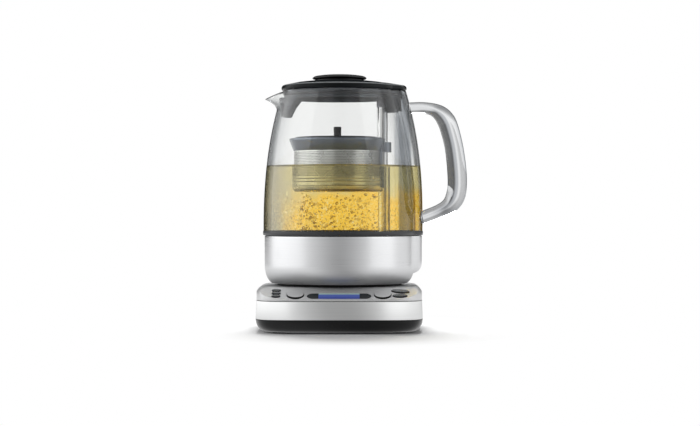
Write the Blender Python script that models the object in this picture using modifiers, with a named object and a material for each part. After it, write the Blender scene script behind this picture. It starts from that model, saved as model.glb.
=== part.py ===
"""Automatic tea maker: a power base with a sloped control panel, a lift-off glass jug with a steel foot,
and a tea basket that a motor lifts along a post inside the jug.

Lengths are in metres, +Z is up and the control panel faces -Y. Everything is placed round the jug's
axis, which an empty holds, so that the whole object's box is centred on the origin.
"""

import math

import bmesh
import bpy
from mathutils import Vector

# Fits and cuts
SEAT_GAP = 0.0003  # between two pieces that rest on each other
RUN_GAP = 0.0003  # between a moving piece and what guides it
OVERRUN = 0.003  # how far a cut runs past the face it goes through
WELD = 0.00001

# How finely round shapes are cut
JUG_POINTS = 48
BASE_POINTS = 40
ROUND_STEPS = 32
POST_STEPS = 24
SMALL_STEPS = 14
TINY_STEPS = 8
BUTTON_POINTS = 12
ARC_STEPS = 3
FOOT_CURVE_STEPS = 4

# Power base
BASE_HALF_WIDTH = 0.0818
BASE_HALF_DEPTH = 0.088
BASE_SQUARENESS = 6.0  # power of the superellipse seen from above
FOOT_RADIUS = 0.0065
FOOT_HEIGHT = 0.0012
FOOT_INSET_X = 0.0238  # from the base's side to the feet's middle
FOOT_INSET_Y = 0.026
SHELL_HEIGHT = 0.0117
SHELL_TUCK = 0.0088  # how far the black shell draws in at the floor
SHELL_WALL = 0.0022
BAND_HEIGHT = 0.0177
BAND_WALL = 0.0012
BAND_DRAFT = 0.0007
COVER_HEIGHT = 0.0125
COVER_WALL = 0.0018
COVER_EDGE = 0.006
COVER_INNER_EDGE = 0.004
PANEL_RUN = 0.027  # how far the slope reaches back from the front
PANEL_FRONT_RISE = 0.0015  # from the cover's foot to the slope's front edge
SCREW_INSET_X = 0.0238
SCREW_INSET_Y = 0.050
SCREW_RADIUS = 0.0015
SCREW_HEAD_RADIUS = 0.0028
SCREW_HEAD_HEIGHT = 0.0011
SCREW_LENGTH = 0.016
POST_RADIUS = 0.0036  # screw posts under the cover
POST_FOOT = 0.001  # how far a screw post stops above the shell's floor

# Controls, placed across and up the panel from its middle
PANEL_HALF_PITCH = 0.0146  # half of the slope's length, from its front rim to its top
BUTTON_TRAVEL = 0.0008
BUTTON_PROUD = 0.0009
BUTTON_EDGE = 0.0004
BUTTON_FLANGE = 0.0005
BUTTON_FLANGE_HEIGHT = 0.0008
STEM_RADIUS = 0.0012
STEM_LENGTH = 0.0017
SWITCH_SIDE = 0.0044
SWITCH_HEIGHT = 0.001
SMALL_HALF_LENGTH = 0.0043
SMALL_HALF_HEIGHT = 0.0022
SMALL_INSET = 0.0213  # from the base's side to the buttons' middle
SMALL_TOP_V = 0.0074
SMALL_STEP_V = 0.0066
ROUND_RADIUS = 0.0083
ROUND_SPACING = 0.0028  # from the display's end to the round buttons
ROUND_V = -0.0014
UPPER_HALF_LENGTH = 0.0088
UPPER_HALF_HEIGHT = 0.0032
UPPER_INSET = 0.0228
UPPER_V = 0.0052
UPPER_TILT = math.radians(-11)
LOWER_HALF_LENGTH = 0.0071
LOWER_HALF_HEIGHT = 0.0030
LOWER_INSET = 0.0233
LOWER_V = -0.0050
DISPLAY_INSET = 0.0510  # from the base's side to the display's end
DISPLAY_RADIUS = 0.0062
DISPLAY_V = -0.0056
WINDOW_PROUD = 0.0002
WINDOW_LIP = 0.0006
MODULE_INSET = 0.0053  # from the window's end to the module's
MODULE_HALF_HEIGHT = 0.0050
BOARD_INSET = 0.0153
BOARD_LOW_V = -0.0088
BOARD_HIGH_V = 0.0108
BOARD_THICKNESS = 0.0015
BOARD_MARGIN = 0.0045  # how far the board stays inside the base's outline
PEG_RADIUS = 0.0017
PEG_PLACES_shares = ((-0.80, 0.55), (-0.38, 0.70), (0.38, 0.70))  # of the board's half length, slope half

# Under the cover
SOCKET_RADIUS = 0.0175
SOCKET_FLANGE = 0.0045
SOCKET_RISE = 0.013  # how far it stands up into the jug
SOCKET_DEPTH = 0.006  # how far it reaches down under the flange
CONTACT_PIN_RADIUS = 0.0016
CONTACT_RING_INNER = 0.0083
CONTACT_RING_OUTER = 0.0107
CONTACT_RING_HEIGHT = 0.0034
POWER_BOARD_HALF_X = 0.033
POWER_BOARD_HALF_Y = 0.021
POWER_BOARD_INSET = 0.048  # from the base's back to the board's middle
POWER_BOARD_LIFT = 0.0035
RELAY_SIZE = (0.019, 0.015, 0.0135)
CAPACITOR_RADIUS = 0.0055
CAPACITOR_HEIGHT = 0.0135
SOUNDER_RADIUS = 0.0058
SOUNDER_HEIGHT = 0.0048
GLAND_RADIUS = 0.0072
GLAND_BORE = 0.0034
GLAND_LENGTH = 0.015
GLAND_FLANGE = 0.0018

# Jug
CREASE_BLEND = 0.003
LOBE_RADIUS = 0.0246  # the rounded spine at the handle's side
JUG_CLEAR = 0.0003  # between the jug's underside and the base
COVER_PLATE = 0.0017
COVER_PLATE_LIP = 0.0040  # how far the plate runs out under the steel foot
PLATE_INSIDE_RISE = 0.0026
FOOT_SHELL_TUCK = 0.0012  # from the glass's side in to the steel foot's
FOOT_SHELL_RISE = 0.0076  # how far the spine stands out
FOOT_SHELL_WALL = 0.0008
FOOT_SHELL_HEIGHT = 0.0473
FOOT_SHELL_TURN_IN = 0.0167  # from the steel foot's side in to its mouth
FOOT_CURVE_HEIGHT = 0.0177
FOOT_CURVE_DEPTH = 0.0105
SPINE_START_RISE = 0.0097  # from the steel foot's lowest edge to where the spine starts
SPINE_CURVE = 0.011
LEDGE_WIDTH = 0.0084  # from the steel foot's side in to the end of its top ledge
SEAL_HEIGHT = 0.0045
SEAL_FLANGE = 0.0022
SEAL_PROUD = 0.0006
SEAL_LEDGE = 0.0069  # from the glass's side in to the seal's bore
GLASS_RADIUS = 0.0759
GLASS_TAPER = 0.0186
TAPER_POWER = 2.4
GLASS_HEIGHT = 0.1411
GLASS_WALL = 0.0024
RIM_ROUND = 0.0005
SPINE_RISE_FOOT = 0.0070
SPINE_RISE_RIM = 0.0092
LIP_HEIGHT = 0.0210
LIP_REACH = 0.0170
LIP_DROP = 0.0082
LIP_POWER = 2.2
LIP_HALF_ANGLE = math.radians(33)
WALL_STEPS = 5
LIP_STEPS = 4

# Glass handle
HANDLE_REACH = 0.1276  # its outermost point, from the jug's axis
HANDLE_POINTS = 12
# Middle line as (distance out as a share of the reach, height as a share of the rim's, thickness in the
# loop's plane as a share of the grip's thickness)
GRIP_THICKNESS = 0.0199
GRIP_DEPTH = 0.0240
HANDLE_LINE_shares = (
    (0.540, 0.930, 0.58),
    (0.642, 0.9322, 0.57),
    (0.730, 0.9240, 0.66),
    (0.790, 0.9065, 0.84),
    (0.832, 0.8800, 0.95),
    (0.860, 0.8450, 0.97),
    (0.897, 0.7663, 0.96),
    (0.9185, 0.6737, 1.0),
    (0.9222, 0.6021, 1.0),
    (0.905, 0.5537, 1.0),
    (0.858, 0.5187, 0.86),
    (0.776, 0.4960, 0.68),
    (0.650, 0.4700, 0.66),
    (0.560, 0.4540, 0.66),
)

# Heater in the jug's floor
GASKET_HEIGHT = 0.001
HEATER_THICKNESS = 0.0012
ELEMENT_LOOP = 0.026
ELEMENT_RADIUS = 0.0036
ELEMENT_GAP_ANGLE = math.radians(24)
ELEMENT_STEPS = 26
SENSOR_RADIUS = 0.004
SENSOR_HEIGHT = 0.007
SENSOR_X = -0.010
CUTOUT_SIZE = (0.018, 0.013, 0.007)
CUTOUT_Y = -0.046
CONNECTOR_GAP = 0.0008
CONNECTOR_WALL = 0.0024
CONNECTOR_FLANGE = 0.0055
CONNECTOR_ROOF = 0.0022
PIN_HEAD = 0.003

# Lift drive
POST_SPACING = 0.0018  # from the strainer's side to the post's middle
TUBE_RADIUS = 0.0054
TUBE_WALL = 0.0007
TUBE_TOP_DROP = 0.0135  # from the glass rim to the tube's top
TUBE_CLEARANCE = 0.0040  # from the gear to the tube
TOOTH_MODULE = 0.0008
GEAR_TEETH = 28
PINION_TEETH = 12
TOOTH_SLACK = 0.00022
TOOTH_SLOPE = math.tan(math.radians(20))
TOOTH_TIP_shares = (-1.15, 0.85)  # root and tip from the pitch circle, in modules
GEAR_HEIGHT = 0.005
MOTOR_RADIUS = 0.0098
MOTOR_HEIGHT = 0.022
MOTOR_SHAFT = 0.0011
MOTOR_POST_RADIUS = 0.0018
MOTOR_POST_X = 0.0086
MOTOR_POST_Y = 0.002
BEARING_RADIUS = 0.0045
BEARING_HEIGHT = 0.0026
JOURNAL_RADIUS = 0.0016
THREAD_RADIUS = 0.0025
THREAD_LEAD = 0.024
THREAD_STEP = math.radians(45)
THREAD_CLEARANCE = 0.0015  # from the tube's foot to the thread's
NUT_HEIGHT = 0.0105
CAP_RADIUS = 0.0057
CAP_HEIGHT = 0.0087
CAP_PLUG = 0.0028
CAP_EDGE = 0.0012

# Basket, at the height that the photograph shows it
BASKET_X = -0.002
BASKET_RISE = 0.0813  # from the heater plate to the basket rim's foot
RIM_HEIGHT = 0.0123
RIM_TOP_PROUD = 0.005  # from the strainer's side to the rim's
RIM_FOOT_PROUD = 0.001
STRAINER_RADIUS = 0.0430
STRAINER_WALL = 0.0008
STRAINER_DEPTH = 0.0487
STRAINER_EDGE = 0.002
STRAINER_FLANGE = 0.0019
STRAINER_SINK = 0.0043  # from the rim's top to the strainer's
BASKET_LID_EDGE = 0.0040
BASKET_LID_CROWN = 0.0016
STEM_KNOB_RADIUS = 0.0038
STEM_KNOB_HEIGHT = 0.0101
COLLAR_RADIUS = 0.0090
COLLAR_SINK = 0.0035  # from the rim's top to the collar's
COLLAR_HEIGHT = 0.0100
GUIDE_RADIUS = 0.0094  # half-round guide that runs down the post from the collar
GUIDE_INNER = 0.0066
GUIDE_LENGTH = 0.0355
GUIDE_OVERLAP = 0.0006  # how far the guide goes up into the collar
MAGNET_INNER = 0.0069
MAGNET_OUTER = 0.0078
MAGNET_HEIGHT = 0.0062

# Lid
LID_LIFT = 0.0008  # from the glass rim to the lid's edge
LID_HEIGHT = 0.0095
LID_EDGE_PROUD = 0.0006
LID_FLAT_RADIUS = 0.0285
LID_CURVE_shares = (0.13, 0.34, 0.52, 0.82)  # heights of the lid's outline below its flat top
LID_SPINE_share = 1 / 3  # how much of the spine is left at the last of those heights
INSERT_INSET = 0.0039  # from the rim's outline to the insert's
INSERT_DROP = 0.0082  # from the glass rim to the insert's foot
INSERT_WALL = 0.0018
INSERT_ROOF = 0.0015
INSERT_SINK = 0.0027  # how far the insert goes up into the lid
LID_SEAL_HEIGHT = 0.0032
LID_SEAL_DEPTH = 0.001
LID_SEAL_DROP = 0.0035
TAB_WALL = 0.0016
TAB_OVERLAP = 0.0012  # how far the guard goes up into the insert
GUARD_LENGTH = 0.0173
GUARD_HALF_ANGLE_FOOT = math.radians(40)
GUARD_HALF_ANGLE_TOP = math.radians(52)
GUARD_BULGE = 0.0030
REAR_TAB_LENGTH = 0.0123
REAR_TAB_HALF_ANGLE = math.radians(30)
REAR_TAB_RISE = 0.0045
KNOB_RADIUS = 0.027
KNOB_HEIGHT = 0.0057
KNOB_NECK = 0.0035
KNOB_CURVE_shares = ((0.66, 0.96), (0.92, 0.78), (1.0, 0.50), (1.0, 0.34))  # of its radius and height
KNOB_NECK_share = 0.12

# Places that follow from the sizes: the base
AXIS_X = (BASE_HALF_WIDTH - HANDLE_REACH) / 2
SHELL_FOOT = FOOT_HEIGHT + SEAT_GAP
SHELL_TOP = SHELL_FOOT + SHELL_HEIGHT
BAND_FOOT = SHELL_TOP + SEAT_GAP
BAND_TOP = BAND_FOOT + BAND_HEIGHT
COVER_FOOT = BAND_TOP + SEAT_GAP
COVER_TOP = COVER_FOOT + COVER_HEIGHT
FOOT_X = BASE_HALF_WIDTH - FOOT_INSET_X
FOOT_Y = BASE_HALF_DEPTH - FOOT_INSET_Y
SCREW_X = BASE_HALF_WIDTH - SCREW_INSET_X
SCREW_Y = BASE_HALF_DEPTH - SCREW_INSET_Y
POWER_BOARD_Y = BASE_HALF_DEPTH - POWER_BOARD_INSET
PANEL_FRONT_DROP = COVER_HEIGHT - PANEL_FRONT_RISE
PANEL_ANGLE = math.atan2(PANEL_FRONT_DROP, PANEL_RUN)
PANEL_Y = PANEL_RUN / 2 - BASE_HALF_DEPTH
PANEL_Z = COVER_TOP - PANEL_FRONT_DROP / 2
DISPLAY_HALF_LENGTH = BASE_HALF_WIDTH - DISPLAY_INSET
MODULE_HALF_LENGTH = DISPLAY_HALF_LENGTH - MODULE_INSET
BOARD_HALF_LENGTH = BASE_HALF_WIDTH - BOARD_INSET
SMALL_X = SMALL_INSET - BASE_HALF_WIDTH
ROUND_X = DISPLAY_HALF_LENGTH + ROUND_SPACING + ROUND_RADIUS
UPPER_X = BASE_HALF_WIDTH - UPPER_INSET
LOWER_X = BASE_HALF_WIDTH - LOWER_INSET
FLANGE_TOP = -COVER_WALL - SEAT_GAP
FLANGE_FOOT = FLANGE_TOP - BUTTON_FLANGE_HEIGHT
STEM_END = FLANGE_FOOT - STEM_LENGTH
BOARD_TOP = STEM_END - BUTTON_TRAVEL - SEAT_GAP - SWITCH_HEIGHT
SOCKET_TOP = COVER_TOP + SOCKET_RISE

# The jug
JUG_FOOT = COVER_TOP + JUG_CLEAR
PLATE_TOP = JUG_FOOT + COVER_PLATE
PLATE_INSIDE = PLATE_TOP + PLATE_INSIDE_RISE
FOOT_SHELL_FOOT = PLATE_TOP + SEAT_GAP
FOOT_SHELL_TOP = FOOT_SHELL_FOOT + FOOT_SHELL_HEIGHT
FOOT_SHELL_RADIUS = GLASS_RADIUS - FOOT_SHELL_TUCK
FOOT_SHELL_MOUTH = FOOT_SHELL_RADIUS - FOOT_SHELL_TURN_IN
COVER_PLATE_RADIUS = FOOT_SHELL_MOUTH + COVER_PLATE_LIP
LEDGE_RADIUS = FOOT_SHELL_RADIUS - LEDGE_WIDTH
SEAL_BORE = GLASS_RADIUS - SEAL_LEDGE
HEATER_RADIUS = SEAL_BORE - SEAT_GAP
SPINE_START = FOOT_SHELL_FOOT + SPINE_START_RISE
SPINE_FULL = SPINE_START + SPINE_CURVE
SEAL_FOOT = FOOT_SHELL_TOP + SEAT_GAP
SEAL_TOP = SEAL_FOOT + SEAL_HEIGHT
GLASS_FOOT = SEAL_FOOT + SEAL_FLANGE + SEAT_GAP
GLASS_RIM = GLASS_FOOT + GLASS_HEIGHT
LIP_ROOT = GLASS_RIM - LIP_HEIGHT
GASKET_TOP = SEAL_FOOT + GASKET_HEIGHT
HEATER_FOOT = GASKET_TOP + SEAT_GAP
HEATER_TOP = HEATER_FOOT + HEATER_THICKNESS
CONNECTOR_RADIUS = SOCKET_RADIUS + CONNECTOR_GAP + CONNECTOR_WALL
CONNECTOR_TOP = SOCKET_TOP + CONNECTOR_GAP + CONNECTOR_ROOF

# The lift drive and the basket
POST_X = BASKET_X + STRAINER_RADIUS + POST_SPACING
DRIVE_FOOT = PLATE_INSIDE + BEARING_HEIGHT + SEAT_GAP
DRIVE_TOP = DRIVE_FOOT + GEAR_HEIGHT
PINION_Y = TOOTH_MODULE * (GEAR_TEETH + PINION_TEETH) / 2
MOTOR_FOOT = DRIVE_TOP + SEAT_GAP
TUBE_FOOT = DRIVE_TOP + TUBE_CLEARANCE
TUBE_TOP = GLASS_RIM - TUBE_TOP_DROP
THREAD_FOOT = TUBE_FOOT + THREAD_CLEARANCE
RIM_FOOT = HEATER_TOP + BASKET_RISE
RIM_TOP = RIM_FOOT + RIM_HEIGHT
RIM_TOP_RADIUS = STRAINER_RADIUS + RIM_TOP_PROUD
RIM_FOOT_RADIUS = STRAINER_RADIUS + RIM_FOOT_PROUD
STRAINER_TOP = RIM_TOP - STRAINER_SINK
STRAINER_FOOT = STRAINER_TOP - STRAINER_DEPTH
BASKET_LID_FOOT = STRAINER_TOP + SEAT_GAP
BASKET_LID_TOP = BASKET_LID_FOOT + BASKET_LID_EDGE + BASKET_LID_CROWN
STEM_KNOB_TOP = BASKET_LID_TOP + SEAT_GAP + STEM_KNOB_HEIGHT
COLLAR_TOP = RIM_TOP - COLLAR_SINK
COLLAR_FOOT = COLLAR_TOP - COLLAR_HEIGHT
GUIDE_FOOT = COLLAR_FOOT - GUIDE_LENGTH

# The lid
LID_FOOT = GLASS_RIM + LID_LIFT
LID_TOP = LID_FOOT + LID_HEIGHT
INSERT_TOP = LID_FOOT + INSERT_SINK - SEAT_GAP
INSERT_FOOT = GLASS_RIM - INSERT_DROP
GUARD_FOOT = INSERT_FOOT - GUARD_LENGTH
REAR_TAB_FOOT = INSERT_FOOT - REAR_TAB_LENGTH

FINISHES = {
    "black_plastic": ((0.018, 0.019, 0.020), 0.45, 0.0),
    "rubber": ((0.03, 0.03, 0.03), 0.8, 0.0),
    "brushed_steel": ((0.62, 0.63, 0.63), 0.28, 1.0),
    "silver_cover": ((0.60, 0.61, 0.61), 0.33, 0.7),
    "dark_key": ((0.055, 0.06, 0.062), 0.35, 0.2),
    "silver_key": ((0.62, 0.63, 0.63), 0.3, 0.8),
    "display_glass": ((0.06, 0.11, 0.55), 0.08, 0.0),
    "board_green": ((0.02, 0.12, 0.05), 0.6, 0.0),
    "brass": ((0.72, 0.52, 0.2), 0.3, 1.0),
    "jug_glass": ((0.88, 0.92, 0.92), 0.03, 0.0),
    "dark_seal": ((0.06, 0.066, 0.07), 0.5, 0.0),
    "polished_steel": ((0.72, 0.73, 0.73), 0.12, 1.0),
    "lid_black": ((0.022, 0.026, 0.028), 0.16, 0.0),
    "smoke_grey": ((0.16, 0.18, 0.19), 0.3, 0.0),
    "basket_grey": ((0.12, 0.125, 0.14), 0.4, 0.0),
    "magnet": ((0.25, 0.25, 0.26), 0.35, 1.0),
    "gear_plastic": ((0.75, 0.73, 0.66), 0.5, 0.0),
}


def clear_scene():
    for thing in list(bpy.data.objects):
        bpy.data.objects.remove(thing, do_unlink=True)


def new_collection(name):
    collection = bpy.data.collections.new(name)
    bpy.context.scene.collection.children.link(collection)
    return collection


def new_empty(name, parent=None, location=(0, 0, 0), rotation=(0, 0, 0)):
    empty = bpy.data.objects.new(name, None)
    empty.location = location
    empty.rotation_euler = rotation
    empty.parent = parent
    empty.empty_display_size = FOOT_RADIUS
    PARTS.objects.link(empty)
    return empty


def make_materials():
    made = {}
    for name, (colour, roughness, metallic) in FINISHES.items():
        material = bpy.data.materials.new(name)
        material.use_nodes = True
        shader = material.node_tree.nodes["Principled BSDF"]
        shader.inputs["Base Color"].default_value = (*colour, 1.0)
        shader.inputs["Roughness"].default_value = roughness
        shader.inputs["Metallic"].default_value = metallic
        material.diffuse_color = (*colour, 1.0)
        made[name] = material
    return made


def place(name, mesh, finish, parent=None, location=(0, 0, 0), rotation=(0, 0, 0)):
    """A part when it has a finish, otherwise a hidden cutter."""
    thing = bpy.data.objects.new(name, mesh)
    thing.parent = parent or AXIS
    thing.location = location
    thing.rotation_euler = rotation
    if finish is None:
        CUTTERS.objects.link(thing)
        thing.hide_render = True
        thing.display_type = "WIRE"
    else:
        PARTS.objects.link(thing)
        mesh.materials.append(MATERIALS[finish])
    return thing


def finished_mesh(name, work, smooth=True):
    bmesh.ops.recalc_face_normals(work, faces=work.faces)
    mesh = bpy.data.meshes.new(name)
    work.to_mesh(mesh)
    work.free()
    if smooth:
        mesh.shade_smooth()
        mesh.set_sharp_from_angle(angle=math.radians(35))
    return mesh


def loft(name, rings, finish, looped=False, **where):
    """A closed surface through rings of equally many points; looped, it turns back on itself as a wall."""
    work = bmesh.new()
    rows = [[work.verts.new(point) for point in ring] for ring in rings]
    pairs = list(zip(rows, rows[1:]))
    if looped:
        pairs.append((rows[-1], rows[0]))
    for lower, upper in pairs:
        for i, corner in enumerate(lower):
            j = (i + 1) % len(lower)
            work.faces.new((corner, lower[j], upper[j], upper[i]))
    if not looped:
        work.faces.new(rows[0])
        work.faces.new(rows[-1])
    return place(name, finished_mesh(name, work), finish, **where)


def turned(name, profile, finish, steps=ROUND_STEPS, **where):
    """Turns (radius, height) points, listed down the outer side; clear of the axis, they close a ring."""
    work = bmesh.new()
    points = [work.verts.new((radius, 0, height)) for radius, height in profile]
    for first, second in zip(points, points[1:]):
        work.edges.new((first, second))
    if profile[0][0] > 0 and profile[-1][0] > 0:
        work.edges.new((points[-1], points[0]))
    mesh = bpy.data.meshes.new(name)
    work.to_mesh(mesh)
    work.free()
    thing = place(name, mesh, finish, **where)
    screw = thing.modifiers.new("turn", "SCREW")
    screw.axis = "Z"
    screw.angle = 2 * math.pi
    screw.steps = steps
    screw.render_steps = steps
    screw.use_merge_vertices = True
    screw.merge_threshold = WELD
    screw.use_smooth_shade = True
    return thing


def tube_profile(inner, outer, foot, top):
    return ((outer, top), (outer, foot), (inner, foot), (inner, top))


def rod_profile(radius, foot, top):
    return ((0, top), (radius, top), (radius, foot), (0, foot))


def block(name, size, centre, finish, **where):
    work = bmesh.new()
    bmesh.ops.create_cube(work, size=1.0)
    bmesh.ops.scale(work, vec=Vector(size), verts=work.verts)
    bmesh.ops.translate(work, vec=Vector(centre), verts=work.verts)
    return place(name, finished_mesh(name, work, smooth=False), finish, **where)


def combine(target, operation, *others):
    for other in others:
        change = target.modifiers.new(operation.lower(), "BOOLEAN")
        change.operation = operation
        change.object = other
    return target


def cut(target, *cutters):
    return combine(target, "DIFFERENCE", *cutters)


def join(target, *others):
    return combine(target, "UNION", *others)


# Outlines

def superellipse(half_x, half_y, power, points, height=0.0):
    ring = []
    for i in range(points):
        turn = 2 * math.pi * i / points
        c, s = math.cos(turn), math.sin(turn)
        x = half_x * math.copysign(abs(c) ** (2 / power), c)
        y = half_y * math.copysign(abs(s) ** (2 / power), s)
        ring.append(Vector((x, y, height)))
    return ring


def base_ring(inset, height):
    half_x, half_y = BASE_HALF_WIDTH - inset, BASE_HALF_DEPTH - inset
    return superellipse(half_x, half_y, BASE_SQUARENESS, BASE_POINTS, height)


def stadium(half_length, radius, points, height):
    """A slot outline with round ends."""
    ring = []
    straight = half_length - radius
    for i in range(points):
        turn = 2 * math.pi * (i + 0.5) / points
        x = math.copysign(straight, math.cos(turn)) + radius * math.cos(turn)
        ring.append(Vector((x, radius * math.sin(turn), height)))
    return ring


def plan_radius(angle, radius, rise, inset=0.0):
    """Distance out to the jug's plan: a circle, and the spine's smaller one at +X, blended at the crease."""
    main = radius - inset
    small = LOBE_RADIUS - inset
    centre = radius + rise - LOBE_RADIUS
    under = small**2 - (centre * math.sin(angle)) ** 2
    if rise <= 0 or under <= 0 or math.cos(angle) < 0:
        return main
    spine = centre * math.cos(angle) + math.sqrt(under)
    blend = CREASE_BLEND * min(1.0, rise / FOOT_SHELL_RISE)
    near = max(blend - abs(main - spine), 0.0)
    return max(main, spine) + near**2 / (4 * blend)


def jug_ring(radius, rise, height, inset=0.0):
    ring = []
    for i in range(JUG_POINTS):
        angle = 2 * math.pi * i / JUG_POINTS
        out = plan_radius(angle, radius, rise, inset)
        ring.append(Vector((out * math.cos(angle), out * math.sin(angle), height)))
    return ring


# Glass wall: its radius, its spine and its pouring lip

def glass_share(height):
    return max(0.0, (height - GLASS_FOOT) / (GLASS_RIM - GLASS_FOOT))


def glass_radius(height):
    return GLASS_RADIUS - GLASS_TAPER * glass_share(height) ** TAPER_POWER


def glass_rise(height):
    return SPINE_RISE_FOOT + (SPINE_RISE_RIM - SPINE_RISE_FOOT) * glass_share(height)


def lip_weight(angle):
    """One at the lip's middle, at -X, falling to nothing at its sides."""
    off = abs(math.remainder(angle - math.pi, 2 * math.pi)) / LIP_HALF_ANGLE
    return math.cos(min(off, 1.0) * math.pi / 2) ** 2


def glass_ring(height, inset, raise_by=0.0):
    climb = max(0.0, (height - LIP_ROOT) / (GLASS_RIM - LIP_ROOT))
    ring = []
    for i in range(JUG_POINTS):
        angle = 2 * math.pi * i / JUG_POINTS
        weight = lip_weight(angle)
        out = plan_radius(angle, glass_radius(height), glass_rise(height), inset)
        out += LIP_REACH * weight * climb**LIP_POWER
        z = height - LIP_DROP * weight * climb + raise_by
        ring.append(Vector((out * math.cos(angle), out * math.sin(angle), z)))
    return ring


def glass_heights():
    below = [GLASS_FOOT + (LIP_ROOT - GLASS_FOOT) * i / WALL_STEPS for i in range(WALL_STEPS)]
    above = [LIP_ROOT + (GLASS_RIM - LIP_ROOT) * i / LIP_STEPS for i in range(LIP_STEPS + 1)]
    return below + above


# Power base

def shell_ring(share_turn, wall):
    """A ring on the black shell's curved side: turn 0 at its underside, a quarter turn at its top."""
    inset = SHELL_TUCK * (1 - math.sin(share_turn)) + wall
    foot = SHELL_FOOT + wall
    return base_ring(inset, foot + (SHELL_TOP - foot) * (1 - math.cos(share_turn)))


def corner_places(x, y):
    return ((x, y), (-x, y), (x, -y), (-x, -y))


def make_bottom_shell():
    turns = [math.pi / 2 * i / ARC_STEPS for i in range(ARC_STEPS + 1)]
    rings = [shell_ring(turn, 0.0) for turn in turns]
    rings += [shell_ring(turn, SHELL_WALL) for turn in reversed(turns)]
    shell = loft("base_bottom_shell", rings, "black_plastic")
    floor = SHELL_FOOT + SHELL_WALL
    for x, y in corner_places(POWER_BOARD_HALF_X - POST_RADIUS, POWER_BOARD_HALF_Y - POST_RADIUS):
        profile = rod_profile(PEG_RADIUS, floor - SHELL_WALL / 2, floor + POWER_BOARD_LIFT - SEAT_GAP)
        join(shell, turned("standoff", profile, None, TINY_STEPS, location=(x, y + POWER_BOARD_Y, 0)))
    for x, y in corner_places(SCREW_X, SCREW_Y):
        head = rod_profile(
            SCREW_HEAD_RADIUS + SEAT_GAP, SHELL_FOOT - OVERRUN, SHELL_FOOT + SCREW_HEAD_HEIGHT + SEAT_GAP
        )
        shank = rod_profile(SCREW_RADIUS + SEAT_GAP, SHELL_FOOT, floor + OVERRUN)
        cut(shell, turned("screw_head_cut", head, None, TINY_STEPS, location=(x, y, 0)))
        cut(shell, turned("screw_shank_cut", shank, None, TINY_STEPS, location=(x, y, 0)))
    return shell


def make_feet_and_screws():
    for number, (x, y) in enumerate(corner_places(FOOT_X, FOOT_Y), start=1):
        foot = rod_profile(FOOT_RADIUS, 0.0, FOOT_HEIGHT)
        turned(f"base_foot_{number}", foot, "rubber", SMALL_STEPS, location=(x, y, 0))
    for number, (x, y) in enumerate(corner_places(SCREW_X, SCREW_Y), start=1):
        head_top = SHELL_FOOT + SCREW_HEAD_HEIGHT
        screw = (
            (0, SHELL_FOOT + SCREW_LENGTH),
            (SCREW_RADIUS, SHELL_FOOT + SCREW_LENGTH),
            (SCREW_RADIUS, head_top),
            (SCREW_HEAD_RADIUS, head_top),
            (SCREW_HEAD_RADIUS, SHELL_FOOT),
            (0, SHELL_FOOT),
        )
        turned(f"base_screw_{number}", screw, "polished_steel", TINY_STEPS, location=(x, y, 0))


def make_band():
    rings = [
        base_ring(0.0, BAND_FOOT),
        base_ring(BAND_DRAFT, BAND_TOP),
        base_ring(BAND_DRAFT + BAND_WALL, BAND_TOP),
        base_ring(BAND_WALL, BAND_FOOT),
    ]
    band = loft("base_steel_band", rings, "brushed_steel", looped=True)
    return cut(band, gland_cutter(GLAND_RADIUS + SEAT_GAP))


def gland_cutter(radius):
    profile = rod_profile(radius, -GLAND_LENGTH, OVERRUN)
    where = {"location": (0, BASE_HALF_DEPTH, gland_height()), "rotation": (-math.pi / 2, 0, 0)}
    return turned("gland_cut", profile, None, SMALL_STEPS, **where)


def gland_height():
    return (BAND_FOOT + BAND_TOP) / 2


def make_cord_inlet():
    """A gland in the band, its outer face just behind the band's, with a flange inside the wall."""
    face = -BAND_DRAFT
    flange = face - BAND_WALL - SEAT_GAP
    profile = (
        (GLAND_RADIUS, face),
        (GLAND_RADIUS, flange),
        (GLAND_RADIUS + GLAND_FLANGE, flange),
        (GLAND_RADIUS + GLAND_FLANGE, flange - GLAND_FLANGE),
        (GLAND_RADIUS, flange - GLAND_FLANGE),
        (GLAND_RADIUS, -GLAND_LENGTH),
        (GLAND_BORE, -GLAND_LENGTH),
        (GLAND_BORE, face),
    )
    where = {"location": (0, BASE_HALF_DEPTH, gland_height()), "rotation": (-math.pi / 2, 0, 0)}
    return turned("cord_inlet", profile, "black_plastic", SMALL_STEPS, **where)


def cover_block(name, finish, inset, wall, edge, foot):
    """The cover's solid form: a rounded block on the base's outline, with the front sloped off."""
    top = COVER_TOP - wall
    work = bmesh.new()
    face = work.faces.new([work.verts.new(point) for point in base_ring(inset, foot)])
    raised = bmesh.ops.extrude_face_region(work, geom=[face])["geom"]
    verts = [item for item in raised if isinstance(item, bmesh.types.BMVert)]
    bmesh.ops.translate(work, vec=Vector((0, 0, top - foot)), verts=verts)
    rim = [item for item in raised if isinstance(item, bmesh.types.BMEdge)]
    bmesh.ops.bevel(
        work,
        geom=rim,
        offset=edge,
        offset_type="OFFSET",
        segments=3,
        profile=0.5,
        affect="EDGES",
        material=-1,
    )
    normal = Vector((0, -math.sin(PANEL_ANGLE), math.cos(PANEL_ANGLE)))
    on_slope = Vector((0, PANEL_Y, PANEL_Z)) - normal * wall
    geometry = list(work.verts) + list(work.edges) + list(work.faces)
    bmesh.ops.bisect_plane(work, geom=geometry, plane_co=on_slope, plane_no=normal, clear_outer=True)
    bmesh.ops.holes_fill(work, edges=[edge for edge in work.edges if edge.is_boundary])
    return place(name, finished_mesh(name, work), finish)


def button_outline(half_length, half_height, grow, height):
    return superellipse(half_length + grow, half_height + grow, 2.0, BUTTON_POINTS, height)


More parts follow.
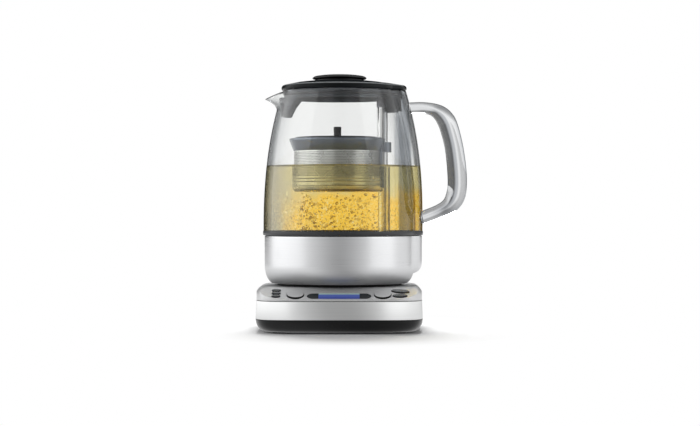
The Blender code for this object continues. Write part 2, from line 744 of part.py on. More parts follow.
def button_list():
    """Name, place across and up the panel, half length, half height, tilt and finish of each button."""
    small = (SMALL_HALF_LENGTH, SMALL_HALF_HEIGHT, 0.0, "dark_key")
    round_key = (ROUND_RADIUS, ROUND_RADIUS, 0.0, "silver_key")
    upper = (UPPER_HALF_LENGTH, UPPER_HALF_HEIGHT, UPPER_TILT, "dark_key")
    lower = (LOWER_HALF_LENGTH, LOWER_HALF_HEIGHT, 0.0, "dark_key")
    return (
        ("button_small_top", SMALL_X, SMALL_TOP_V, *small),
        ("button_small_middle", SMALL_X, SMALL_TOP_V - SMALL_STEP_V, *small),
        ("button_small_bottom", SMALL_X, SMALL_TOP_V - 2 * SMALL_STEP_V, *small),
        ("button_round_left", -ROUND_X, ROUND_V, *round_key),
        ("button_round_right", ROUND_X, ROUND_V, *round_key),
        ("button_oval_upper", UPPER_X, UPPER_V, *upper),
        ("button_oval_lower", LOWER_X, LOWER_V, *lower),
    )


def make_buttons():
    for name, x, v, long_half, short_half, tilt, finish in button_list():
        rings = [
            superellipse(STEM_RADIUS, STEM_RADIUS, 2.0, BUTTON_POINTS, STEM_END),
            superellipse(STEM_RADIUS, STEM_RADIUS, 2.0, BUTTON_POINTS, FLANGE_FOOT),
            button_outline(long_half, short_half, BUTTON_FLANGE, FLANGE_FOOT),
            button_outline(long_half, short_half, BUTTON_FLANGE, FLANGE_TOP),
            button_outline(long_half, short_half, 0.0, FLANGE_TOP),
            button_outline(long_half, short_half, 0.0, BUTTON_PROUD - BUTTON_EDGE),
            button_outline(long_half, short_half, -BUTTON_EDGE, BUTTON_PROUD),
        ]
        loft(name, rings, finish, parent=PANEL, location=(x, v, 0), rotation=(0, 0, tilt))


def make_top_cover():
    cover = cover_block("base_top_cover", "silver_cover", BAND_DRAFT, 0.0, COVER_EDGE, COVER_FOOT)
    inside = cover_block(
        "cover_hollow", None, BAND_DRAFT + COVER_WALL, COVER_WALL, COVER_INNER_EDGE, COVER_FOOT - OVERRUN
    )
    cut(cover, inside)
    for x, y in corner_places(SCREW_X, SCREW_Y):
        foot = SHELL_FOOT + SHELL_WALL + POST_FOOT
        where = {"location": (x, y, 0)}
        post = rod_profile(POST_RADIUS, foot, COVER_TOP - COVER_WALL / 2)
        bore = rod_profile(SCREW_RADIUS + SEAT_GAP, foot - OVERRUN, SHELL_FOOT + SCREW_LENGTH + OVERRUN)
        join(cover, turned("screw_post", post, None, TINY_STEPS, **where))
        cut(cover, turned("screw_bore", bore, None, TINY_STEPS, **where))
    for share_x, share_v in PEG_PLACES_shares:
        peg = rod_profile(PEG_RADIUS, BOARD_TOP + SEAT_GAP, -COVER_WALL / 2)
        spot = (share_x * BOARD_HALF_LENGTH, share_v * PANEL_HALF_PITCH, 0)
        join(cover, turned("board_peg", peg, None, TINY_STEPS, parent=PANEL, location=spot))
    for name, x, v, long_half, short_half, tilt, _ in button_list():
        rings = [
            button_outline(long_half, short_half, RUN_GAP, -COVER_WALL - OVERRUN / 2),
            button_outline(long_half, short_half, RUN_GAP, OVERRUN),
        ]
        where = {"parent": PANEL, "location": (x, v, 0), "rotation": (0, 0, tilt)}
        cut(cover, loft(f"{name}_hole", rings, None, **where))
    window = [
        stadium(DISPLAY_HALF_LENGTH + SEAT_GAP, DISPLAY_RADIUS + SEAT_GAP, SMALL_STEPS, height)
        for height in (-COVER_WALL - OVERRUN / 2, OVERRUN)
    ]
    cut(cover, loft("display_hole", window, None, parent=PANEL, location=(0, DISPLAY_V, 0)))
    hole = rod_profile(SOCKET_RADIUS + SEAT_GAP, COVER_TOP - COVER_WALL - OVERRUN, COVER_TOP + OVERRUN)
    return cut(cover, turned("socket_hole", hole, None, POST_STEPS))


def make_display():
    lip = -COVER_WALL - SEAT_GAP
    steps = ((WINDOW_LIP, lip - BUTTON_EDGE), (WINDOW_LIP, lip), (0.0, lip), (0.0, WINDOW_PROUD))
    rings = [
        stadium(DISPLAY_HALF_LENGTH + grow, DISPLAY_RADIUS + grow, SMALL_STEPS, height)
        for grow, height in steps
    ]
    where = {"parent": PANEL, "location": (0, DISPLAY_V, 0)}
    loft("display_window", rings, "display_glass", **where)
    top = lip - BUTTON_EDGE - SEAT_GAP
    foot = BOARD_TOP + SEAT_GAP
    size = (2 * MODULE_HALF_LENGTH, 2 * MODULE_HALF_HEIGHT, top - foot)
    block("display_module", size, (0, 0, (top + foot) / 2), "dark_seal", **where)


def make_control_board():
    size = (2 * BOARD_HALF_LENGTH, BOARD_HIGH_V - BOARD_LOW_V, BOARD_THICKNESS)
    middle = (0, (BOARD_HIGH_V + BOARD_LOW_V) / 2, BOARD_TOP - BOARD_THICKNESS / 2)
    board = block("control_board", size, middle, "board_green", parent=PANEL)
    trim = loft("board_trim", [base_ring(BOARD_MARGIN, z) for z in (0.0, COVER_TOP)], None)
    combine(board, "INTERSECT", trim)
    for name, x, v, *_ in button_list():
        size = (SWITCH_SIDE, SWITCH_SIDE, SWITCH_HEIGHT + BOARD_THICKNESS / 2)
        centre = (0, 0, BOARD_TOP + SWITCH_HEIGHT - size[2] / 2)
        spot = (x, max(v, BOARD_LOW_V + SWITCH_SIDE), 0)
        join(board, block(f"{name}_switch", size, centre, None, parent=PANEL, location=spot))
    return board


def make_socket():
    """The round connector that the jug drops over, held under the cover by its flange."""
    flange = COVER_TOP - COVER_WALL - SEAT_GAP
    foot = flange - SOCKET_DEPTH
    ring_foot = SOCKET_TOP - CONTACT_RING_HEIGHT - SEAT_GAP
    profile = (
        (CONTACT_RING_OUTER + SEAT_GAP, SOCKET_TOP),
        (SOCKET_RADIUS - BUTTON_PROUD, SOCKET_TOP),
        (SOCKET_RADIUS, SOCKET_TOP - BUTTON_PROUD),
        (SOCKET_RADIUS, flange),
        (SOCKET_RADIUS + SOCKET_FLANGE, flange),
        (SOCKET_RADIUS + SOCKET_FLANGE, flange - GLAND_FLANGE),
        (SOCKET_RADIUS, flange - GLAND_FLANGE),
        (SOCKET_RADIUS, foot),
        (CONTACT_PIN_RADIUS + CONNECTOR_GAP, foot),
        (CONTACT_PIN_RADIUS + CONNECTOR_GAP, SOCKET_TOP),
        (CONTACT_RING_INNER - SEAT_GAP, SOCKET_TOP),
        (CONTACT_RING_INNER - SEAT_GAP, ring_foot),
        (CONTACT_RING_OUTER + SEAT_GAP, ring_foot),
    )
    turned("connector_socket", profile, "black_plastic", POST_STEPS)
    ring = tube_profile(CONTACT_RING_INNER, CONTACT_RING_OUTER, ring_foot + SEAT_GAP, SOCKET_TOP)
    turned("socket_contact_ring", ring, "brass", POST_STEPS)


def make_power_board():
    foot = SHELL_FOOT + SHELL_WALL + POWER_BOARD_LIFT
    top = foot + BOARD_THICKNESS
    size = (2 * POWER_BOARD_HALF_X, 2 * POWER_BOARD_HALF_Y, BOARD_THICKNESS)
    where = {"location": (0, POWER_BOARD_Y, 0)}
    board = block("power_board", size, (0, 0, foot + BOARD_THICKNESS / 2), "board_green", **where)
    relay = (-POWER_BOARD_HALF_X / 2, 0, top + RELAY_SIZE[2] / 2 - BOARD_THICKNESS / 2)
    join(board, block("relay", RELAY_SIZE, relay, None, **where))
    can = rod_profile(CAPACITOR_RADIUS, foot + BOARD_THICKNESS / 2, top + CAPACITOR_HEIGHT)
    spot = (POWER_BOARD_HALF_X / 2, POWER_BOARD_Y, 0)
    join(board, turned("capacitor", can, None, TINY_STEPS, location=spot))
    sounder = rod_profile(SOUNDER_RADIUS, top + SEAT_GAP, top + SEAT_GAP + SOUNDER_HEIGHT)
    spot = (0, POWER_BOARD_Y - POWER_BOARD_HALF_Y / 2, 0)
    turned("sounder", sounder, "black_plastic", SMALL_STEPS, location=spot)


# Jug

def foot_shell_radius(height):
    """The steel foot's radius: straight at the top, drawn in along a quarter ellipse at the bottom."""
    down = (FOOT_SHELL_FOOT + FOOT_CURVE_HEIGHT - height) / (FOOT_CURVE_HEIGHT + FOOT_SHELL_WALL)
    return FOOT_SHELL_RADIUS - FOOT_CURVE_DEPTH * (1 - math.sqrt(1 - max(down, 0.0) ** 2))


def foot_spine_rise(height):
    down = min(1.0, max(0.0, (SPINE_FULL - height) / (SPINE_FULL - SPINE_START)))
    return FOOT_SHELL_RISE * math.sqrt(1 - down**2)


def make_foot_shell():
    curve_top = FOOT_SHELL_FOOT + FOOT_CURVE_HEIGHT
    turns = [math.pi / 2 * i / FOOT_CURVE_STEPS for i in range(FOOT_CURVE_STEPS + 1)]
    heights = [FOOT_SHELL_FOOT + FOOT_CURVE_HEIGHT * (1 - math.cos(turn)) for turn in turns]
    heights += [curve_top + (SPINE_FULL - curve_top) * i / 2 for i in (1, 2)]
    heights.append(FOOT_SHELL_TOP)
    rings = [jug_ring(FOOT_SHELL_MOUTH, 0.0, FOOT_SHELL_FOOT)]
    rings += [jug_ring(foot_shell_radius(z), foot_spine_rise(z), z) for z in heights]
    rings.append(jug_ring(LEDGE_RADIUS, 0.0, FOOT_SHELL_TOP))
    rings.append(jug_ring(LEDGE_RADIUS, 0.0, FOOT_SHELL_TOP - FOOT_SHELL_WALL))
    heights[0] = FOOT_SHELL_FOOT + FOOT_SHELL_WALL
    heights[-1] = FOOT_SHELL_TOP - FOOT_SHELL_WALL
    for z in reversed(heights):
        rings.append(jug_ring(foot_shell_radius(z), foot_spine_rise(z), z, inset=FOOT_SHELL_WALL))
    rings.append(jug_ring(FOOT_SHELL_MOUTH, 0.0, FOOT_SHELL_FOOT + FOOT_SHELL_WALL))
    return loft("jug_steel_shell", rings, "brushed_steel", looped=True)


def make_glass():
    heights = glass_heights()
    rings = [glass_ring(z, 0.0) for z in heights]
    rings.append(glass_ring(GLASS_RIM, GLASS_WALL / 2, raise_by=RIM_ROUND))
    rings += [glass_ring(z, GLASS_WALL) for z in reversed(heights)]
    return loft("glass_jug", rings, "jug_glass", looped=True)


def make_seal_ring():
    outer, rise = GLASS_RADIUS + SEAL_PROUD, SPINE_RISE_FOOT
    rings = [
        jug_ring(outer, rise, SEAL_FOOT),
        jug_ring(outer, rise, SEAL_TOP),
        jug_ring(GLASS_RADIUS + SEAT_GAP, rise, SEAL_TOP),
        jug_ring(GLASS_RADIUS + SEAT_GAP, rise, SEAL_FOOT + SEAL_FLANGE),
        jug_ring(SEAL_BORE, 0.0, SEAL_FOOT + SEAL_FLANGE),
        jug_ring(SEAL_BORE, 0.0, SEAL_FOOT),
    ]
    return loft("seal_ring", rings, "dark_seal", looped=True)


def smooth_line(points, steps):
    """Points of a Catmull-Rom curve through the given ones, with so many steps between each two."""
    ends = [2 * points[0] - points[1], *points, 2 * points[-1] - points[-2]]
    line = []
    for a, b, c, d in zip(ends, ends[1:], ends[2:], ends[3:]):
        for i in range(steps):
            t = i / steps
            bend = (2 * a - 5 * b + 4 * c - d) * t**2 + (3 * b - a - 3 * c + d) * t**3
            line.append((2 * b + (c - a) * t + bend) / 2)
    return line + [points[-1]]


def make_handle():
    """A glass loop swept in the XZ plane, thinner at its arms, and trimmed to the jug's wall."""
    guide = [Vector((out * HANDLE_REACH, up * GLASS_RIM, thick)) for out, up, thick in HANDLE_LINE_shares]
    line = smooth_line(guide, 2)
    rings = []
    for i, point in enumerate(line):
        before, after = line[max(i - 1, 0)], line[min(i + 1, len(line) - 1)]
        along = Vector((after.x - before.x, 0, after.y - before.y)).normalized()
        across = Vector((along.z, 0, -along.x))
        half = GRIP_THICKNESS * point.z / 2
        depth = GRIP_DEPTH * math.sqrt(point.z) / 2
        middle = Vector((point.x, 0, point.y))
        ring = []
        for k in range(HANDLE_POINTS):
            turn = 2 * math.pi * (k + 0.5) / HANDLE_POINTS
            ring.append(middle + across * half * math.cos(turn) + Vector((0, depth * math.sin(turn), 0)))
        rings.append(ring)
    handle = loft("glass_handle", rings, "jug_glass")
    body = loft("handle_trim", [glass_ring(z, -SEAT_GAP) for z in glass_heights()], None)
    return cut(handle, body)


def make_jug_floor():
    gasket = tube_profile(LEDGE_RADIUS, HEATER_RADIUS, SEAL_FOOT, GASKET_TOP)
    turned("heater_gasket", gasket, "rubber", ROUND_STEPS)
    plate = turned("heater_plate", rod_profile(HEATER_RADIUS, HEATER_FOOT, HEATER_TOP), "brushed_steel")
    hole = rod_profile(TUBE_RADIUS + SEAT_GAP, HEATER_FOOT - OVERRUN, HEATER_TOP + OVERRUN)
    cut(plate, turned("post_hole", hole, None, SMALL_STEPS, location=(POST_X, 0, 0)))
    make_element()
    under = HEATER_FOOT - SEAT_GAP
    sensor = rod_profile(SENSOR_RADIUS, under - SENSOR_HEIGHT, under)
    turned("temperature_sensor", sensor, "polished_steel", SMALL_STEPS, location=(SENSOR_X, 0, 0))
    centre = (0, CUTOUT_Y, under - CUTOUT_SIZE[2] / 2)
    block("boil_dry_cutout", CUTOUT_SIZE, centre, "smoke_grey")


def make_element():
    """The heating tube: an open loop clamped under the plate."""
    curve = bpy.data.curves.new("heating_element", "CURVE")
    curve.dimensions = "3D"
    curve.bevel_depth = ELEMENT_RADIUS
    curve.bevel_resolution = 2
    curve.use_fill_caps = True
    spline = curve.splines.new("POLY")
    spline.points.add(ELEMENT_STEPS)
    height = HEATER_FOOT - SEAT_GAP - ELEMENT_RADIUS
    sweep = 2 * math.pi - 2 * ELEMENT_GAP_ANGLE
    for i, point in enumerate(spline.points):
        angle = math.pi / 2 + ELEMENT_GAP_ANGLE + sweep * i / ELEMENT_STEPS
        point.co = (ELEMENT_LOOP * math.cos(angle), ELEMENT_LOOP * math.sin(angle), height, 1)
    return place("heating_element", curve, "polished_steel")


def make_jug_bottom():
    cover = turned(
        "jug_bottom_cover",
        (
            (FOOT_SHELL_MOUTH - SEAT_GAP, PLATE_INSIDE),
            (FOOT_SHELL_MOUTH - SEAT_GAP, PLATE_TOP),
            (COVER_PLATE_RADIUS, PLATE_TOP),
            (COVER_PLATE_RADIUS, JUG_FOOT),
            (CONNECTOR_RADIUS + SEAT_GAP, JUG_FOOT),
            (CONNECTOR_RADIUS + SEAT_GAP, PLATE_INSIDE),
        ),
        "black_plastic",
    )
    bearing = rod_profile(BEARING_RADIUS, PLATE_TOP, PLATE_INSIDE + BEARING_HEIGHT)
    join(cover, turned("bearing_boss", bearing, None, SMALL_STEPS, location=(POST_X, 0, 0)))
    socket = rod_profile(JOURNAL_RADIUS + RUN_GAP, PLATE_TOP, PLATE_INSIDE + BEARING_HEIGHT + OVERRUN)
    cut(cover, turned("bearing_bore", socket, None, TINY_STEPS, location=(POST_X, 0, 0)))
    for side in (-1, 1):
        leg = rod_profile(MOTOR_POST_RADIUS, PLATE_TOP, MOTOR_FOOT - SEAT_GAP)
        spot = (POST_X + side * MOTOR_POST_X, PINION_Y + MOTOR_POST_Y, 0)
        join(cover, turned("motor_leg", leg, None, TINY_STEPS, location=spot))
    inner = SOCKET_RADIUS + CONNECTOR_GAP
    roof = SOCKET_TOP + CONNECTOR_GAP
    flange = PLATE_INSIDE + SEAT_GAP
    connector = (
        (CONTACT_PIN_RADIUS + SEAT_GAP, CONNECTOR_TOP),
        (CONNECTOR_RADIUS, CONNECTOR_TOP),
        (CONNECTOR_RADIUS, flange + CONNECTOR_WALL),
        (CONNECTOR_RADIUS + CONNECTOR_FLANGE, flange + CONNECTOR_WALL),
        (CONNECTOR_RADIUS + CONNECTOR_FLANGE, flange),
        (CONNECTOR_RADIUS, flange),
        (CONNECTOR_RADIUS, JUG_FOOT),
        (inner, JUG_FOOT),
        (inner, roof),
        (CONTACT_PIN_RADIUS + SEAT_GAP, roof),
    )
    turned("jug_connector", connector, "black_plastic", POST_STEPS)
    pin = (
        (0, CONNECTOR_TOP + SEAT_GAP + CONNECTOR_ROOF),
        (PIN_HEAD, CONNECTOR_TOP + SEAT_GAP + CONNECTOR_ROOF),
        (PIN_HEAD, CONNECTOR_TOP + SEAT_GAP),
        (CONTACT_PIN_RADIUS, CONNECTOR_TOP + SEAT_GAP),
        (CONTACT_PIN_RADIUS, JUG_FOOT + CONNECTOR_GAP),
        (0, JUG_FOOT),
    )
    turned("jug_contact_pin", pin, "brass", TINY_STEPS)


# Lift drive

def gear_rings(teeth, foot, top, phase):
    """Trapezoid teeth with slack, the same outline at the foot and the top."""
    pitch = TOOTH_MODULE * teeth / 2
    root = pitch + TOOTH_TIP_shares[0] * TOOTH_MODULE
    tip = pitch + TOOTH_TIP_shares[1] * TOOTH_MODULE
    half_tooth = math.pi * TOOTH_MODULE / 4 - TOOTH_SLACK
    outline = []
    for tooth in range(teeth):
        middle = phase + 2 * math.pi * tooth / teeth
        for radius, side in ((root, -1), (tip, -1), (tip, 1), (root, 1)):
            half = half_tooth - (radius - pitch) * TOOTH_SLOPE
            angle = middle + side * half / radius
            outline.append((radius * math.cos(angle), radius * math.sin(angle)))
    return [[Vector((x, y, z)) for x, y in outline] for z in (foot, top)]


def make_drive():
    """Motor, pinion, gear, lead screw and magnet nut, on two upright axes."""
    gear = loft(
        "screw_gear",
        gear_rings(GEAR_TEETH, DRIVE_FOOT, DRIVE_TOP, math.pi / 2),
        "gear_plastic",
        parent=new_empty("screw_axis", AXIS, (POST_X, 0, 0)),
    )
    bore = rod_profile(JOURNAL_RADIUS + SEAT_GAP, DRIVE_FOOT - OVERRUN, DRIVE_TOP + OVERRUN)
    cut(gear, turned("gear_bore", bore, None, TINY_STEPS, location=(POST_X, 0, 0)))
    make_lead_screw(gear.parent)
    pinion_axis = new_empty("pinion_axis", AXIS, (POST_X, PINION_Y, 0))
    half_tooth_turn = math.pi / PINION_TEETH
    teeth = gear_rings(PINION_TEETH, DRIVE_FOOT, DRIVE_TOP, -math.pi / 2 + half_tooth_turn)
    pinion = loft("motor_pinion", teeth, "gear_plastic", parent=pinion_axis)
    shaft = rod_profile(MOTOR_SHAFT, DRIVE_FOOT + GEAR_HEIGHT / 2, MOTOR_FOOT + MOTOR_HEIGHT / 2)
    join(pinion, turned("pinion_shaft", shaft, None, TINY_STEPS, location=(POST_X, PINION_Y, 0)))
    motor_top = MOTOR_FOOT + MOTOR_HEIGHT
    bore_top = MOTOR_FOOT + MOTOR_HEIGHT / 2 + OVERRUN
    motor = (
        (0, motor_top),
        (MOTOR_RADIUS - CAP_EDGE, motor_top),
        (MOTOR_RADIUS, motor_top - CAP_EDGE),
        (MOTOR_RADIUS, MOTOR_FOOT),
        (MOTOR_SHAFT + RUN_GAP, MOTOR_FOOT),
        (MOTOR_SHAFT + RUN_GAP, bore_top),
        (0, bore_top),
    )
    turned("lift_motor", motor, "polished_steel", POST_STEPS, location=(POST_X, PINION_Y, 0))
    nut_foot = (COLLAR_FOOT + COLLAR_TOP - NUT_HEIGHT) / 2
    nut = tube_profile(
        THREAD_RADIUS + RUN_GAP, TUBE_RADIUS - TUBE_WALL - RUN_GAP, nut_foot, nut_foot + NUT_HEIGHT
    )
    turned("magnet_nut", nut, "magnet", SMALL_STEPS, location=(POST_X, 0, 0))


def make_lead_screw(axis):
    """A square bar twisted into a four-start thread, with a round journal at its foot."""
    journal_foot = PLATE_INSIDE + SEAT_GAP
    thread_top = TUBE_TOP - CAP_PLUG - SEAT_GAP
    rings = [
        superellipse(JOURNAL_RADIUS, JOURNAL_RADIUS, 2.0, 4, journal_foot),
        superellipse(JOURNAL_RADIUS, JOURNAL_RADIUS, 2.0, 4, THREAD_FOOT),
    ]
    steps = round((thread_top - THREAD_FOOT) / (THREAD_LEAD * THREAD_STEP / (2 * math.pi)))
    for i in range(steps + 1):
        height = THREAD_FOOT + (thread_top - THREAD_FOOT) * i / steps
        turn = 2 * math.pi * (height - THREAD_FOOT) / THREAD_LEAD
        ring = []
        for k in range(4):
            angle = turn + math.pi / 2 * k
            ring.append(Vector((THREAD_RADIUS * math.cos(angle), THREAD_RADIUS * math.sin(angle), height)))
        rings.append(ring)
    return loft("lead_screw", rings, "polished_steel", parent=axis)


def make_post():
    tube = tube_profile(TUBE_RADIUS - TUBE_WALL, TUBE_RADIUS, TUBE_FOOT, TUBE_TOP)
    turned("post_tube", tube, "polished_steel", POST_STEPS, location=(POST_X, 0, 0))
    seat = TUBE_TOP + SEAT_GAP
    plug = TUBE_RADIUS - TUBE_WALL - SEAT_GAP
    cap = (
        (0, seat + CAP_HEIGHT),
        (CAP_RADIUS - CAP_EDGE, seat + CAP_HEIGHT),
        (CAP_RADIUS, seat + CAP_HEIGHT - CAP_EDGE),
        (CAP_RADIUS, seat),
        (plug, seat),
        (plug, TUBE_TOP - CAP_PLUG),
        (0, TUBE_TOP - CAP_PLUG),
    )
    turned("post_cap", cap, "basket_grey", SMALL_STEPS, location=(POST_X, 0, 0))


# Basket

def post_notch(radius):
    profile = rod_profile(radius, STRAINER_FOOT - OVERRUN, BASKET_LID_TOP + OVERRUN)
    return turned("post_notch", profile, None, POST_STEPS, location=(POST_X, 0, 0))


def make_carriage():
    """The collar that rides on the post, with a half-round guide down the post and a magnet pocket."""
    bore = TUBE_RADIUS + RUN_GAP
    pocket = COLLAR_TOP - MAGNET_HEIGHT - SEAT_GAP
    where = {"location": (POST_X, 0, 0)}
    carriage = turned(
        "basket_carriage",
        (
            (COLLAR_RADIUS, COLLAR_TOP),
            (COLLAR_RADIUS, COLLAR_FOOT),
            (bore, COLLAR_FOOT),
            (bore, COLLAR_TOP),
            (MAGNET_INNER - SEAT_GAP, COLLAR_TOP),
            (MAGNET_INNER - SEAT_GAP, pocket),
            (MAGNET_OUTER + SEAT_GAP, pocket),
            (MAGNET_OUTER + SEAT_GAP, COLLAR_TOP),
        ),
        "basket_grey",
        POST_STEPS,
        **where,
    )
    guide_top = COLLAR_FOOT + GUIDE_OVERLAP
    guide = tube_profile(GUIDE_INNER, GUIDE_RADIUS, GUIDE_FOOT, guide_top)
    guide = turned("guide", guide, None, POST_STEPS, **where)
    half = 2 * GUIDE_RADIUS + OVERRUN
    size = (half, 2 * half, guide_top - GUIDE_FOOT + 2 * OVERRUN)
    cut(guide, block("guide_half", size, (half / 2, 0, (guide_top + GUIDE_FOOT) / 2), None, **where))
    join(carriage, guide)
    magnet = tube_profile(MAGNET_INNER, MAGNET_OUTER, pocket + SEAT_GAP, pocket + MAGNET_HEIGHT)
    turned("carriage_magnet", magnet, "magnet", POST_STEPS, **where)


def make_basket():
    where = {"location": (BASKET_X, 0, 0)}
    ledge = STRAINER_TOP - STRAINER_WALL - SEAT_GAP
    step = STRAINER_RADIUS + STRAINER_FLANGE + SEAT_GAP
    rim = turned(
        "basket_rim",
        (
            (RIM_TOP_RADIUS, RIM_TOP),
            (RIM_FOOT_RADIUS + STRAINER_WALL, RIM_FOOT),
            (STRAINER_RADIUS + SEAT_GAP, RIM_FOOT),
            (STRAINER_RADIUS + SEAT_GAP, ledge),
            (step, ledge),
            (step, RIM_TOP),
        ),
        "basket_grey",
        **where,
    )
    cut(rim, post_notch(COLLAR_RADIUS + SEAT_GAP))
    strainer = turned(
        "basket_strainer",
        (
            (0, STRAINER_TOP),
            (STRAINER_RADIUS + STRAINER_FLANGE, STRAINER_TOP),
            (STRAINER_RADIUS + STRAINER_FLANGE, STRAINER_TOP - STRAINER_WALL),
            (STRAINER_RADIUS, STRAINER_TOP - STRAINER_WALL),
            (STRAINER_RADIUS, STRAINER_FOOT + STRAINER_EDGE),
            (STRAINER_RADIUS - STRAINER_EDGE, STRAINER_FOOT),
            (0, STRAINER_FOOT),
        ),
        "brushed_steel",
        **where,
    )
    inner = turned(
        "strainer_hollow",
        (
            (0, STRAINER_TOP + OVERRUN),
            (STRAINER_RADIUS - STRAINER_WALL, STRAINER_TOP + OVERRUN),
            (STRAINER_RADIUS - STRAINER_WALL, STRAINER_FOOT + STRAINER_EDGE),
            (STRAINER_RADIUS - STRAINER_EDGE, STRAINER_FOOT + STRAINER_WALL),
            (0, STRAINER_FOOT + STRAINER_WALL),
        ),
        None,
        **where,
    )
    notch = GUIDE_RADIUS + SEAT_GAP
    cut(inner, post_notch(notch + STRAINER_WALL))
    cut(strainer, post_notch(notch), inner)
    edge = step - SEAT_GAP
    lid = turned(
        "basket_lid",
        (
            (0, BASKET_LID_TOP),
            (edge / 2, BASKET_LID_TOP),
            (edge, BASKET_LID_FOOT + BASKET_LID_EDGE),
            (edge, BASKET_LID_FOOT),
            (0, BASKET_LID_FOOT),
        ),
        "basket_grey",
        **where,
    )
    cut(lid, post_notch(notch))
    stem = (
        (0, STEM_KNOB_TOP),
        (STEM_KNOB_RADIUS - BUTTON_PROUD, STEM_KNOB_TOP),
        (STEM_KNOB_RADIUS, STEM_KNOB_TOP - BUTTON_PROUD),
        (STEM_KNOB_RADIUS, BASKET_LID_TOP + SEAT_GAP),
        (0, BASKET_LID_TOP + SEAT_GAP),
    )
    turned("basket_lid_knob", stem, "black_plastic", SMALL_STEPS, **where)


# Lid

def make_lid_shell():
    radius, rise = glass_radius(GLASS_RIM), glass_rise(GLASS_RIM)
    recess = INSERT_INSET - SEAT_GAP
    low, high, shoulder, slope = [LID_FOOT + LID_HEIGHT * share for share in LID_CURVE_shares]
    rings = [
        jug_ring(radius, rise, LID_FOOT + INSERT_SINK, inset=recess),
        jug_ring(radius, rise, LID_FOOT, inset=recess),
        jug_ring(radius, rise, LID_FOOT),
        jug_ring(radius + LID_EDGE_PROUD, rise, low),
        jug_ring(radius + LID_EDGE_PROUD, rise, high),
        jug_ring(radius - LID_EDGE_PROUD, rise, shoulder),
        jug_ring((radius + LID_FLAT_RADIUS) / 2, rise * LID_SPINE_share, slope),
        jug_ring(LID_FLAT_RADIUS, 0.0, LID_TOP),
    ]
    return loft("lid_shell", rings, "lid_black")


def tab(name, foot, top, half_angle_foot, half_angle_top, centre_angle, radius_at):
    """A curved plate hanging from the insert, wider at its top."""
    work = bmesh.new()
    columns = 8
    rows = []
    for height, half in ((foot, half_angle_foot), (top, half_angle_top)):
        row = []
        for i in range(columns + 1):
            angle = centre_angle + half * (2 * i / columns - 1)
            out = radius_at(angle)
            row.append(work.verts.new((out * math.cos(angle), out * math.sin(angle), height)))
        rows.append(row)
    for i in range(columns):
        work.faces.new((rows[0][i], rows[0][i + 1], rows[1][i + 1], rows[1][i]))
    thing = place(name, finished_mesh(name, work), None)
    thicken = thing.modifiers.new("wall", "SOLIDIFY")
    thicken.thickness = TAB_WALL
    thicken.offset = 0.0
    return thing


def make_lid_insert():
    radius, rise = glass_radius(GLASS_RIM), glass_rise(GLASS_RIM)
    outer, inner = INSERT_INSET, INSERT_INSET + INSERT_WALL
    insert = loft(
        "lid_insert",
        [jug_ring(radius, rise, INSERT_FOOT, inset=outer), jug_ring(radius, rise, INSERT_TOP, inset=outer)],
        "smoke_grey",
    )
    hollow = loft(
        "insert_hollow",
        [
            jug_ring(radius, rise, INSERT_FOOT - OVERRUN, inset=inner),
            jug_ring(radius, rise, INSERT_TOP - INSERT_ROOF, inset=inner),
        ],
        None,
    )
    cut(insert, hollow)
    middle = radius - (outer + inner) / 2
    guard_top = INSERT_FOOT + TAB_OVERLAP
    guard = tab(
        "spout_guard",
        GUARD_FOOT,
        guard_top,
        GUARD_HALF_ANGLE_FOOT,
        GUARD_HALF_ANGLE_TOP,
        math.pi,
        lambda angle: middle + GUARD_BULGE * lip_weight(angle),
    )
    rear = tab(
        "rear_tab",
        REAR_TAB_FOOT,
        INSERT_TOP - INSERT_ROOF / 2,
        REAR_TAB_HALF_ANGLE,
        REAR_TAB_HALF_ANGLE,
        0.0,
        lambda angle: plan_radius(angle, middle, REAR_TAB_RISE),
    )
    join(insert, guard, rear)
    seal_foot = LID_FOOT - LID_SEAL_DROP - LID_SEAL_HEIGHT
    near, far = INSERT_INSET - SEAT_GAP, INSERT_INSET - SEAT_GAP - LID_SEAL_DEPTH
    rings = [
        jug_ring(radius, rise, seal_foot, inset=far),
        jug_ring(radius, rise, seal_foot + LID_SEAL_HEIGHT, inset=far),
        jug_ring(radius, rise, seal_foot + LID_SEAL_HEIGHT, inset=near),
        jug_ring(radius, rise, seal_foot, inset=near),
    ]
    loft("lid_seal", rings, "rubber", looped=True)


def make_lid_knob():
    seat = LID_TOP + SEAT_GAP
    curve = [(KNOB_RADIUS * out, seat + KNOB_HEIGHT * up) for out, up in KNOB_CURVE_shares]
    knob = (
        (0, seat + KNOB_HEIGHT),
        *curve,
        (KNOB_RADIUS - KNOB_NECK, seat + KNOB_HEIGHT * KNOB_NECK_share),
        (KNOB_RADIUS - KNOB_NECK, seat),
        (0, seat),
    )
    turned("lid_knob", knob, "lid_black")


clear_scene()
PARTS = new_collection("automatic_tea_maker")
CUTTERS = new_collection("cutters")
CUTTERS.hide_render = True
MATERIALS = make_materials()
AXIS = new_empty("jug_axis", None, (AXIS_X, 0, 0))
PANEL = new_empty("panel_frame", AXIS, (0, PANEL_Y, PANEL_Z), (PANEL_ANGLE, 0, 0))

make_bottom_shell()
make_feet_and_screws()
make_band()
make_cord_inlet()
make_top_cover()
make_buttons()
make_display()
make_control_board()
make_socket()
make_power_board()
make_foot_shell()
make_glass()
make_seal_ring()
make_handle()
make_jug_floor()
make_jug_bottom()
make_drive()
make_post()
make_carriage()
make_basket()
make_lid_shell()
make_lid_insert()
make_lid_knob()
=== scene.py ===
import math
import random

import bmesh
import bpy
from mathutils import Matrix, Vector


